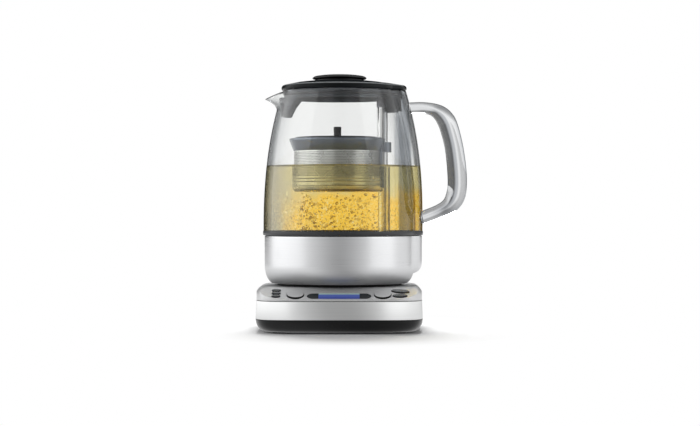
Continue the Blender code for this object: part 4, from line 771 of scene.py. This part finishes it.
basket = {
    "x": (ringLow.x + ringHigh.x) / 2 + 0.0004,
    "rimRadius": 0.0480,
    "rimFoot": 0.0440,
    "rimLow": 0.1777,
    "rimHigh": 0.1900,
    "strainer": 0.0434,
    "strainerLow": 0.1370,
    "wall": 0.0008,
    "lidRadius": 0.0449,
    "lidLow": 0.1860,
    "lidHigh": 0.1916,
    "lidSlope": (0.0030, 0.0022),  # inwards and down
    "lidSoft": 0.0010,
    "stem": 0.0038,
    "stemX": axisX - 0.002,
    "stemHigh": 0.2020,
    "stemTaper": 0.94,
    "stemTop": 0.0016,
    "stemSink": 0.0002,
    "stemSoft": 0.0009,
    "cupTop": 0.1857,
    # out from the cup's wall and up from its foot
    "cupFoot": ((-0.0040, 0.0006), (-0.0026, 0), (-0.0004, 0.0022), (0, 0.0046)),
    "floorTo": 0.003,  # above this the cup's skin is offset sideways only
    "bead": 0.0006,
    "beads": ((0.1430, 0.0006), (0.1474, 0.0008), (0.1504, 0.0008)),  # height, and half of each one's width
    "cupSoft": (0.0005, 0.0004),
    "ringWall": 0.0012,
    # from the ring's top edge
    "ringLip": ((-0.0006, -0.0034), (0, -0.0020), (0, 0), (-0.0020, 0), (-0.0030, -0.0040)),
    "ringInside": 0.0044,
    "ringSoft": 0.0005,
    "meshLow": 0.1520,
    "meshHigh": 0.1764,
    "meshSoft": 0.0006,
    "pitch": 0.00155,
}
post = {
    "x": (tubeLow.x + tubeHigh.x) / 2,
    "radius": 0.0054,
    "notch": 0.0062,
    "notchLow": 0.12,
    "notchHigh": 0.20,
    "mouth": 0.02,
    "capFoot": (0.0003, 0.0010),
    "capShoulder": 0.0030,
    "capSoft": 0.0022,
}


def strainerMesh():
    # steel pierced with rows of small holes between two heights
    low, high, soft, pitch = basket["meshLow"], basket["meshHigh"], basket["meshSoft"], basket["pitch"]
    recipe = newRecipe("pierced steel")
    along, up, _ = recipe.axes(recipe.node("UVMap"))
    row, column = up / pitch, along / pitch
    acrossCell = (column + row.whole() % 2.0 * 0.5).part() - 0.5
    upCell = row.part() - 0.5
    spread = (acrossCell * acrossCell + upCell * upCell) ** 0.5
    zone = up.between(low, low + soft, high, high + soft)
    hole = spread.fade(0.26, 0.34) * zone
    cloud = recipe.grain((40, 40, 60), 3.0)
    colour = recipe.mix(cloud.spread(), (0.78, 0.79, 0.75), (0.90, 0.91, 0.87))
    colour = recipe.mix(spread.fade(0.30, 0.44) * zone, colour, (0.24, 0.24, 0.22))
    normal, rough = recipe.bump(hole, 0.0002), cloud.spread(0.22, 0.30)
    return recipe.finish(recipe.surface(colour, rough, normal, Metallic=0.95, Alpha=1.0 - hole * 0.75))


def addRingUv(thing, centreX, radius):
    # distance round the wall and height, for the rows of holes
    mesh = thing.data
    layer = mesh.uv_layers.new(name="round")
    for face in mesh.polygons:
        angles = [math.atan2(mesh.vertices[i].co.y, mesh.vertices[i].co.x - centreX) for i in face.vertices]
        for corner, i, angle in zip(face.loop_indices, face.vertices, angles):
            if max(angles) - min(angles) > math.pi and angle < 0:
                angle += 2 * math.pi
            layer.data[corner].uv = (angle * radius, mesh.vertices[i].co.z)


def strainerCup():
    radius, low, wall = basket["strainer"], basket["strainerLow"], basket["wall"]
    top, floorTo, (outSoft, inSoft) = basket["cupTop"], low + basket["floorTo"], basket["cupSoft"]
    side = [(0, low + basket["cupFoot"][0][1])] + [(radius + out, low + up) for out, up in basket["cupFoot"]]
    for level, half in basket["beads"]:
        side += [(radius, level - half), (radius + basket["bead"], level), (radius, level + half)]
    side.append((radius, top))
    inner = [(max(0.0, r - wall), z + (wall if z < floorTo else 0.0)) for r, z in reversed(side)]
    outline = eased(side, outSoft) + [(radius - wall, top)] + eased(inner[1:], inSoft)
    return moved(spun(outline, 160), basket["x"])


def postNotch():
    # two cutters for the gap that the post runs in: round it, and from there out to the wall
    low, high, radius = post["notchLow"], post["notchHigh"], post["notch"]
    mouth = bmesh.new()
    made = bmesh.ops.create_cube(mouth, size=1.0)["verts"]
    bmesh.ops.scale(mouth, verts=made, vec=(post["mouth"], radius * 2, high - low))
    bmesh.ops.translate(mouth, verts=made, vec=(post["x"] + post["mouth"] / 2, 0, (high + low) / 2))
    return [cylinder(radius, low, high, post["x"]), mouth]


def basketRing():
    narrow, rim, low, high = basket["rimFoot"], basket["rimRadius"], basket["rimLow"], basket["rimHigh"]
    inside = narrow - basket["ringWall"]
    outline = [(inside, low), (narrow, low)] + [(rim + out, high + up) for out, up in basket["ringLip"]]
    outline += [(inside, high - basket["ringInside"]), (inside, low)]
    return moved(spun(eased(outline, basket["ringSoft"]), 160), basket["x"])


def basketTop():
    radius, low, high = basket["lidRadius"], basket["lidLow"], basket["lidHigh"]
    slopeIn, slopeDown = basket["lidSlope"]
    outline = [(0, low), (radius, low), (radius, high - slopeDown), (radius - slopeIn, high), (0, high)]
    return moved(spun(eased(outline, basket["lidSoft"]), 128), basket["x"])


def basketStem():
    stem, low, high = basket["stem"], basket["lidHigh"] - basket["stemSink"], basket["stemHigh"]
    outline = [(0, low), (stem * basket["stemTaper"], low), (stem, high - basket["stemTop"]), (stem, high),
               (0, high)]
    return moved(spun(eased(outline, basket["stemSoft"]), 40), basket["stemX"])


cup = toObject("basket_cup", strainerCup())
addRingUv(cup, basket["x"], basket["strainer"])
carve(cup, postNotch())
dress(cup, strainerMesh(), "basket", "polished_steel", "basket_strainer")
ring = carve(toObject("basket_ring", basketRing()), postNotch())
dress(ring, basketGrey, "basket", "basket_grey", "basket_rim")
basketCover = carve(toObject("basket_cover", basketTop()), postNotch())
dress(basketCover, basketGrey, "basket", "basket_grey", "basket_lid")
dress(toObject("basket_stem_knob", basketStem()), stemBlack, "basket", "lid_black", "basket_lid_knob")


def postTube():
    return cylinder(post["radius"], tubeLow.z, tubeHigh.z, post["x"], segments=64)


def postCap():
    low, high, radius = capLow.z, capHigh.z, (capHigh.x - capLow.x) / 2
    footIn, footUp = post["capFoot"]
    outline = [(0, low), (radius - footIn, low), (radius, low + footUp), (radius, high - post["capShoulder"]),
               (0, high)]
    return moved(spun(eased(outline, post["capSoft"]), 64), post["x"])


dress(toObject("jug_post", postTube()), steelPost, "jug", "polished_steel", "post_tube")
dress(toObject("jug_post_top", postCap()), capGrey, "jug", "smoke_grey", "post_cap")
print("basket and post made")


base = {
    "power": 6.0,
    "evenFrom": 0.8,  # share of the half width past which the plan is offset and not scaled
    "bandDraft": 0.0007,
    "bandWall": 0.0010,
    "bandSoft": 0.0003,
    "shellLow": 0.0015,
    "shellHigh": 0.0132,
    "tuck": 0.0088,
    "shellWall": 0.0022,
    "shellFlat": 0.012,  # the bottom is flat from here inwards
    "coverLow": 0.0315,
    "coverHigh": 0.0440,
    "coverEdge": 0.0060,
    "coverInset": 0.0007,
    "coverBend": 0.0006,
    "coverWall": 0.0020,
    "coverFree": 0.0358,  # the panel changes nothing below this height
    "coverLeast": 0.0316,  # and brings nothing down past this one
    "panelRun": 0.0270,
    "panelDrop": 0.0110,
    "panelSoft": 0.0012,
    "panelY": -0.0745,  # where the rows of keys are measured from
    "socket": 0.0178,
    "socketLow": 0.038,
    "socketHigh": 0.048,
    "segments": 288,
}


def baseOutline(angle, inset):
    c, s = abs(math.cos(angle)), abs(math.sin(angle))
    power = base["power"]
    return ((c / (halfWidth - inset)) ** power + (s / (halfDepth - inset)) ** power) ** (-1 / power)


def basePlan(angle, radius, height):
    # radius is half the width at that point
    fixed = halfWidth * base["evenFrom"]
    if radius >= fixed:
        out = baseOutline(angle, halfWidth - radius)
    else:
        out = baseOutline(angle, halfWidth - fixed) * radius / fixed
    return onAxis(angle, out, height)


def bandRing():
    low, high, wall = bandLow.z, bandHigh.z, base["bandWall"]
    wide, narrow = halfWidth, halfWidth - base["bandDraft"]
    outline = [(wide - wall, low, 0), (wide, low), (narrow, high), (narrow - wall, high), (wide - wall, low)]
    return reshaped(spun(eased(outline, base["bandSoft"]), base["segments"]), basePlan)


def bottomShell():
    low, high, tuck, wall = base["shellLow"], base["shellHigh"], base["tuck"], base["shellWall"]
    turns = levels(0, math.pi / 2, 14)
    side = [(halfWidth - tuck * (1 - math.cos(t)), high - (high - low) * math.sin(t)) for t in turns]
    outline = [(halfWidth - wall, high), *side, (halfWidth - tuck - base["shellFlat"], low), (0, low)]
    inner = [(0, low + wall), (halfWidth - tuck - wall, low + wall), (halfWidth - wall, high)]
    return reshaped(spun(outline + inner, base["segments"]), basePlan)


def panelHeight(y):
    return base["coverHigh"] - base["panelDrop"] / base["panelRun"] * (base["panelRun"] - halfDepth - y)


innerMark = 1.0  # points of the cover's inner skin come in this much low, to be told from the outer one's


def coverPlan(angle, radius, height):
    wall = base["coverWall"] if height < 0 else 0.0
    place = basePlan(angle, radius, height + innerMark if height < 0 else height)
    if place.z < base["coverFree"]:
        return place
    slope, soft = panelHeight(place.y) - wall, base["panelSoft"]
    near = max(soft - abs(place.z - slope), 0.0)
    place.z = max(min(place.z, slope) - near**2 / (4 * soft), base["coverLeast"])
    return place


def coverSkin():
    low, high, edge, wall = base["coverLow"], base["coverHigh"], base["coverEdge"], base["coverWall"]
    wide, bend = halfWidth - base["coverInset"], base["coverBend"]
    side = [(wide - bend, low), (wide, low + bend)]
    for turn in levels(0, math.pi / 2, 10):
        side.append((wide - edge * (1 - math.cos(turn)), high - edge * (1 - math.sin(turn))))
    steps = [(wide - edge) * (1 - i / 40) for i in range(1, 40)]
    outer = side + [(radius, high) for radius in steps] + [(0, high)]
    inner = [(0, high - wall)] + [(radius, high - wall) for radius in reversed(steps)]
    inner += [(wide - edge, high - wall), (wide - wall, high - edge)]
    inner = [(radius, height - innerMark) for radius, height in inner]
    return reshaped(spun(outer + inner + [(wide - wall, low), side[0]], base["segments"]), coverPlan)


panelTurn = math.atan2(base["panelDrop"], base["panelRun"])
panelFrom = Vector((axisX, base["panelY"], panelHeight(base["panelY"])))
panelPlace = Matrix.Translation(panelFrom) @ Matrix.Rotation(panelTurn, 4, "X")
keys = {
    "proud": 0.0009,
    "shoulder": 0.0004,
    "faceEdge": 0.0009,
    "faceShare": 0.45,
    "crown": 0.0001,
    "unit": 0.01,  # one in a cap's profile, measured inwards from its edge
    "even": 0.9,  # past this share of its radius a cap's outline is offset and not scaled
    "gap": 0.0003,
    "gapBelow": 0.0018,
    "gapBelowRound": 0.0032,
    "holeDepth": 0.012,
    "holeTop": 0.006,
    "depth": 0.0030,
    "segments": 56,
    "halfSmall": (0.0043, 0.0022),
    "smallX": -0.0605,
    "smallRows": (("small_key_top", 0.0074), ("small_key_middle", 0.0008), ("small_key_bottom", -0.0058)),
    "round": (("round_key_left", -0.0419), ("round_key_right", 0.0419)),
    "roundRow": -0.0014,
    "roundRadius": 0.0083,
    "oval": (("oval_key_upper", 0.0590, 0.0052, 0.0088, 0.0032, -11.0),
             ("oval_key_lower", 0.0585, -0.0050, 0.0071, 0.0030, 0.0)),
    "displayRow": -0.0056,
    "displayHalf": 0.0308,
    "displayRadius": 0.0062,
    "displayGap": 0.0002,
    "paneLow": -0.0022,
    "paneHigh": -0.0002,
    "paneCut": 0.004,
    "litHalf": 0.0195,
    "litSoft": 0.0004,
    "litRise": (0.0325, 0.0375),  # heights that the screen grows paler between
    "litEdge": (0.0374, 0.0382),
}


def panelShape(profile, halfX, halfY, x, y, tilt):
    # a turned shape set on the panel; its edge is at radius 1
    def plan(angle, radius, height):
        away = (1.0 - max(radius, keys["even"])) * keys["unit"]
        c, s = [turn * min(1.0, radius / keys["even"]) for turn in (math.cos(angle), math.sin(angle))]
        return Vector(((halfX - away) * c, (halfY - away) * s, height))

    work = reshaped(spun(profile, keys["segments"]), plan)
    spin = Matrix.Translation((x, y, 0)) @ Matrix.Rotation(math.radians(tilt), 4, "Z")
    bmesh.ops.transform(work, matrix=panelPlace @ spin, verts=work.verts)
    return work


def inwards(distance):
    return 1.0 - distance / keys["unit"]


def keyCap(halfX, halfY, x, y, tilt):
    proud, depth, shoulder = keys["proud"], keys["depth"], keys["shoulder"]
    top = proud + keys["crown"]
    outline = [(0, -depth), (1.0, -depth), (1.0, proud - shoulder), (inwards(shoulder), proud),
               (inwards(keys["faceEdge"]), proud), (keys["faceShare"], top), (0, top)]
    return panelShape(outline, halfX, halfY, x, y, tilt)


def keyHole(halfX, halfY, x, y, tilt):
    # wider below the key, where its shadow line shows
    gap, low = keys["gap"], keys["gapBelowRound" if halfX == halfY else "gapBelow"]
    deep, top = -keys["holeDepth"], keys["holeTop"]
    outline = [(0, deep), (1.0, deep), (1.0, top), (0, top)]
    return panelShape(outline, halfX + gap, halfY + (gap + low) / 2, x, y - (low - gap) / 2, tilt)


def stadium(gap, low, high):
    # the display's long rounded bar in the panel
    half, radius = keys["displayHalf"] + gap, keys["displayRadius"] + gap
    work = bmesh.new()
    made = bmesh.ops.create_circle(work, segments=48, radius=radius, cap_ends=True)
    for vert in made["verts"]:
        vert.co.x += math.copysign(half - radius, vert.co.x) if abs(vert.co.x) > weld else 0.0
    region = bmesh.ops.extrude_face_region(work, geom=work.faces[:], use_keep_orig=True)["geom"]
    top = [item for item in region if isinstance(item, bmesh.types.BMVert)]
    bmesh.ops.translate(work, verts=work.verts, vec=(0, keys["displayRow"], low))
    bmesh.ops.translate(work, verts=top, vec=(0, 0, high - low))
    bmesh.ops.transform(work, matrix=panelPlace, verts=work.verts)
    return work


caps = []
for name, row in keys["smallRows"]:
    caps.append((name, *keys["halfSmall"], keys["smallX"], row, 0.0))
for name, across in keys["round"]:
    caps.append((name, keys["roundRadius"], keys["roundRadius"], across, keys["roundRow"], 0.0))
for name, across, row, halfX, halfY, tilt in keys["oval"]:
    caps.append((name, halfX, halfY, across, row, tilt))


def keyFinish(name, tint, side, metallic, roughness):
    # the cap's face has its own colour; the skirt below it is painted dark as shade
    recipe = newRecipe(name)
    normal = panelPlace.to_3x3() @ Vector((0, 0, 1))
    inputs = {0: recipe.coords(), 1: tuple(normal)}
    level = recipe.node("VectorMath", {"operation": "DOT_PRODUCT"}, inputs, output=1)
    height = level - normal.dot(panelFrom) - keys["proud"]
    skin = recipe.noise(recipe.coords(), 1800)
    # below the face the colour turns to the skirt's painted shade
    face = height.ramp(-0.00035, -0.00015)
    colour = recipe.mix(face, side, recipe.mix(skin.spread(), tuple(v * 0.92 for v in tint), tint))
    rough = skin.spread(-0.03, 0.03) + roughness
    return recipe.finish(recipe.surface(colour, rough, recipe.bump(skin, 0.00001), Metallic=face * metallic))


def displayGlass():
    # a dark window; the lit screen fills its middle, with a painted reflection along its upper edge that
    # glows with it
    recipe = newRecipe("display window")
    across, _, up = recipe.axes(recipe.coords())
    lit = abs(across - axisX).fade(keys["litHalf"], keys["litHalf"] + keys["litSoft"])
    blue = recipe.mix(up.ramp(*keys["litRise"]), paint(46, 58, 150), paint(92, 112, 190))
    # painted reflection: a pale band along the screen's upper edge
    blue = recipe.mix(up.ramp(*keys["litEdge"]), blue, paint(176, 205, 196))
    haze = recipe.grain((260, 90, 260), 2.0)
    colour = recipe.mix(lit, paint(52, 57, 60), blue)
    glow = recipe.mix(lit * haze.ramp(0.2, 0.8, 0.8, 1.0), (0.0, 0.0, 0.0), blue)
    window = {"Emission_Color": glow, "Emission_Strength": 0.25, "Specular_IOR_Level": 0.15}
    return recipe.finish(recipe.surface(colour, 0.2, recipe.bump(haze, 0.00001), **window))


silverFace = keyFinish("silver key face", (0.72, 0.725, 0.73), paint(14, 15, 16), 0.35, 0.36)
darkFace = keyFinish("dark key face", paint(104, 108, 110), paint(14, 15, 16), 0.3, 0.28)
for name, *shape in caps:
    face, finishName = (silverFace, "silver_key") if name.startswith("round") else (darkFace, "dark_key")
    cap = toObject(name + "_cap", keyCap(*shape), 30)
    dress(cap, face, name, finishName, "button_" + name.replace("_key_", "_"))
cutters = [keyHole(*shape) for name, *shape in caps]
cutters.append(cylinder(base["socket"], base["socketLow"], base["socketHigh"], axisX, segments=64))
cutters.append(stadium(keys["displayGap"], -keys["holeTop"], keys["paneCut"]))
baseCover = carve(toObject("base_cover_skin", coverSkin()), cutters)
dress(baseCover, coverSilver, "power_base", "silver_cover", "base_top_cover")
dress(toObject("base_band", bandRing()), steelBand, "power_base", "brushed_steel", "base_steel_band")
dress(toObject("base_shell", bottomShell()), shellBlack, "power_base", "black_plastic", "base_bottom_shell")
pane = toObject("display_pane", stadium(0, keys["paneLow"], keys["paneHigh"]), 30)
dress(pane, displayGlass(), "power_base", "display_glass", "display_window")
print("base made")


tea = {
    "low": glassFoot + 0.0003,
    "high": 0.1618,
    "steps": 26,
    "into": 0.0006,
    "meniscus": (0.0012, 0.0026),  # up the wall, and inwards from it
    "postGap": 0.0004,
    "overrun": 0.002,
    "paleFrom": (0.128, 0.146),  # heights that the colour changes between
    "flecksTo": (0.128, 0.134),
    "hazeTo": (axisX - 0.062, axisX - 0.030),
    "clumps": (axisX - 0.055, axisX - 0.03, axisX + 0.02, axisX + 0.034),
    "clearTo": (0.0008, 0.0016),  # out from the post
    "bubbles": 150,
    "bubbleSizes": (0.0006, 0.0009, 0.0012, 0.0015),
    "bubbleTurn": 0.62,
    "bubbleFoot": 0.003,
    "bubbleRise": 0.036,
    "bubbleDeep": (0.0035, 0.012),
}


def teaLiquid():
    # amber, hazier and paler at the left and near the surface, with fine flecks in it
    recipe = newRecipe("brewed tea")
    across, deep, height = recipe.axes(recipe.coords())
    wander = recipe.grain((30, 30, 36), 4.0).ramp(0.2, 0.8, -0.012, 0.012)
    colour = recipe.mix((height + wander).ramp(*tea["paleFrom"]), (0.98, 0.61, 0.065), (0.74, 0.64, 0.30))
    colour = recipe.mix((across + wander).fade(*tea["hazeTo"]), colour, (0.58, 0.52, 0.34))
    low = (height + wander).fade(*tea["flecksTo"])
    fleck = recipe.node("TexVoronoi", inputs={"Vector": recipe.coords(), "Scale": 330.0})
    colour = recipe.mix(fleck.ramp(0.18, 0.34, 0.75, 0.0) * low, colour, (0.30, 0.17, 0.03))
    speck = recipe.grain((420, 420, 420), 1.0).ramp(0.58, 0.66)
    colour = recipe.mix(speck * low * 0.6, colour, (0.97, 0.86, 0.52))
    clump = recipe.grain((150, 150, 170), 3.0).ramp(0.60, 0.64) * across.between(*tea["clumps"])
    colour = recipe.mix(clump * low * 0.75, colour, (0.34, 0.19, 0.02))
    fromPost = ((across - post["x"]) ** 2 + deep * deep) ** 0.5 - post["radius"]
    colour = recipe.mix(fromPost.fade(*tea["clearTo"]), colour, (1.0, 1.0, 1.0))
    liquid = recipe.surface(colour, 0.02, IOR=1.04, Transmission_Weight=1.0)
    return recipe.lampsPass(liquid, (0.96, 0.92, 0.82))


def airBubble():
    recipe = newRecipe("air bubble")
    # painted shade: dark towards each bubble's outline, pale amber in its middle
    colour = recipe.mix(recipe.facing().ramp(0.3, 0.95), (0.98, 0.9, 0.62), (0.32, 0.2, 0.05))
    wobble = recipe.bump(recipe.noise(recipe.coords(), 220), 0.0001)
    return recipe.finish(recipe.surface(colour, 0.0, wobble, IOR=1.2, Transmission_Weight=1.0))


def teaBody():
    heights = levels(tea["low"], tea["high"], tea["steps"])
    wall = glass["wall"] - tea["into"]
    side = [(glassRadius(z) - wall, z) for z in heights]
    rim, (climb, reach) = glassRadius(tea["high"]) - wall, tea["meniscus"]
    outline = [(0, tea["low"]), *side, (rim, tea["high"] + climb), (rim - reach, tea["high"]),
               (0, tea["high"])]
    return reshaped(spun(outline, glass["segments"]), glassPlan)


roomLow, roomHigh = tea["low"] - tea["overrun"], tea["high"] + tea["overrun"]
postRoom = cylinder(post["radius"] + tea["postGap"], roomLow, roomHigh, post["x"])
brew = carve(toObject("tea_in_jug", teaBody(), 60), [postRoom])
dress(brew, teaLiquid(), "jug", "jug_glass")


def bubbleSwarm():
    # small bubbles just inside the wall, most of them low down at the front
    draw = random.Random(7)
    work = bmesh.new()
    for _ in range(tea["bubbles"]):
        side = draw.uniform(-1, 1)
        angle = -math.pi / 2 + side * tea["bubbleTurn"]
        height = tea["low"] + tea["bubbleFoot"] + (draw.random() ** 1.7) * tea["bubbleRise"]
        size = draw.choice(tea["bubbleSizes"]) * draw.uniform(0.8, 1.1)
        deep = draw.uniform(*tea["bubbleDeep"])
        place = Matrix.Translation(onAxis(angle, glassRadius(height) - glass["wall"] - deep, height))
        squash = Matrix.Diagonal((1, 1, draw.uniform(0.7, 0.9), 1))
        bmesh.ops.create_icosphere(work, subdivisions=2, radius=size, matrix=place @ squash)
    return work


dress(toObject("tea_bubbles", bubbleSwarm(), 80), airBubble(), "jug", "jug_glass")
print("tea made")

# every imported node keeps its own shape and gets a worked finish
finishes = {
    "black_plastic": shellBlack, "rubber": rubberBlack, "brushed_steel": steelPlain,
    "silver_cover": coverSilver, "dark_key": keyDark, "silver_key": keySilver, "display_glass": keyDark,
    "board_green": boardGreen, "brass": brassPlain, "jug_glass": jugGlass, "dark_seal": sealGrey,
    "polished_steel": steelBright, "lid_black": lidDark, "smoke_grey": insertGrey,
    "basket_grey": basketGrey, "magnet": magnetGrey, "gear_plastic": nylon,
}
for name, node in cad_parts.items():
    for slot in node.material_slots:
        for key, finish in finishes.items():
            if slot.material and slot.material.name.startswith(key):
                slot.material = finish
                break
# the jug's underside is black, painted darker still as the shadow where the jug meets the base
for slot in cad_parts["jug_bottom_cover"].material_slots:
    slot.material = shadowBlack
print("packed nodes dressed")

studio = {
    "floorHalf": 4.0,
    "shadowTo": (0.13, 0.26),  # the floor turns plain white between these distances from the middle
    "shadowWide": 2.2,
    "dimTo": (0.4, 1.6),  # glass sees the floor dimmer nearer than this
    "lens": 97.7,
    "eye": (-0.0124, -1.9, 0.116),
    "aim": 0.12,  # height that the side lamps point at
}


def floorFinish():
    # the camera sees white past the soft shadow; steel and glass see the floor dimmer close to the object
    recipe = newRecipe("studio floor")
    across, deep, _ = recipe.axes(recipe.coords())
    plain = recipe.node("BsdfDiffuse", inputs={"Color": (0.8, 0.8, 0.8)})
    paper = recipe.mix(recipe.grain((3, 3, 3)).spread(), (0.88, 0.88, 0.88), (0.9, 0.9, 0.9))
    bright = recipe.node("BsdfDiffuse", inputs={"Color": paper})
    white, dim = recipe.glow(1.0), recipe.glow(0.34)
    shadowReach = (across * across * studio["shadowWide"] + deep * deep) ** 0.5
    shown = recipe.blend(shadowReach.ramp(*studio["shadowTo"]), bright, white)
    reach = (across * across + deep * deep) ** 0.5
    behind = recipe.blend(reach.ramp(*studio["dimTo"], 0.1, 1.0), dim, white)
    ahead = abs(across / deep).ramp(0.0, 0.9, 0.85, 0.0) * deep.fade(-0.1, 0.0)
    mirrored = recipe.blend(deep.ramp(-0.9, -0.06, 0.4, 1.0) * (1.0 - ahead), dim, white)
    look = recipe.blend(recipe.ray("Camera"), plain, shown)
    look = recipe.blend(recipe.ray("Glossy"), look, mirrored)
    return recipe.finish(recipe.blend(recipe.ray("Transmission"), look, behind))


def studioSky(world):
    # white where the camera looks; metal sees it darker in front, glass sees it darker off to the sides
    recipe = Recipe(world)
    aside, away, up = recipe.axes(recipe.node("TexCoord", output="Generated"))
    seen, glossy, through = recipe.ray("Camera"), recipe.ray("Glossy"), recipe.ray("Transmission")
    other = 1.0 - seen.larger(glossy).larger(through)
    ahead = away.fade(-0.6, -0.4)
    darkStrip = abs(aside).ramp(0.12, 0.22, 0.66, 0.0) * ahead
    inMetal = away.ramp(-1.02, -0.6, 0.63, 1.0) * away.fade(0.55, 0.85) * up.ramp(0.3, 0.6, 1.0, 0.8)
    inMetal = inMetal * (1.0 - abs(aside).ramp(0.0, 0.4, 0.32, 0.0) * ahead)
    straight = away.ramp(0.972, 0.998)
    inGlass = straight + (1.0 - straight) * aside.ramp(-0.25, 0.25, 0.62, 0.2)
    mirrored = glossy * (1.0 - through)  # light that passes glass counts as glossy too
    strength = seen + mirrored * inMetal + through * inGlass * (1.0 - darkStrip) + other * 0.27
    sky = recipe.node("Background", inputs={"Color": (1.0, 1.0, 1.0), "Strength": strength})
    recipe.finish(sky, "OutputWorld")


floorMesh = bmesh.new()
bmesh.ops.create_grid(floorMesh, x_segments=1, y_segments=1, size=studio["floorHalf"])
floor = toObject("studio_floor", floorMesh)
floor.data.materials.append(floorFinish())
scene.world = bpy.data.worlds.new("studio")
studioSky(scene.world)


def softbox(name, place, target, width, height, power):
    light = bpy.data.lights.new(name, "AREA")
    light.shape, light.size, light.size_y, light.energy = "RECTANGLE", width, height, power
    lamp = bpy.data.objects.new(name, light)
    lamp.location = place
    lamp.rotation_euler = (Vector(target) - Vector(place)).to_track_quat("-Z", "Y").to_euler()
    lamp.visible_camera = False
    scene.collection.objects.link(lamp)
    return lamp


middle = (axisX, 0, studio["aim"])
softbox("left lamp", (axisX - 1.25, -0.05, 0.5), middle, 1.9, 1.4, 5.6)
softbox("right lamp", (axisX + 1.15, -0.45, 0.5), middle, 1.1, 1.4, 3.0)
softbox("back lamp", (axisX, 1.15, 1.4), (axisX, 0, 0), 0.9, 0.7, 36.0).visible_glossy = False

lens = bpy.data.cameras.new("camera")
lens.lens, lens.sensor_width, lens.clip_start = studio["lens"], 36.0, 0.05
eye = bpy.data.objects.new("camera", lens)
eye.location = studio["eye"]
eye.rotation_euler = (math.pi / 2, 0, 0)
scene.collection.objects.link(eye)
scene.camera = eye
scene.view_settings.view_transform = "Standard"
print("stage set")
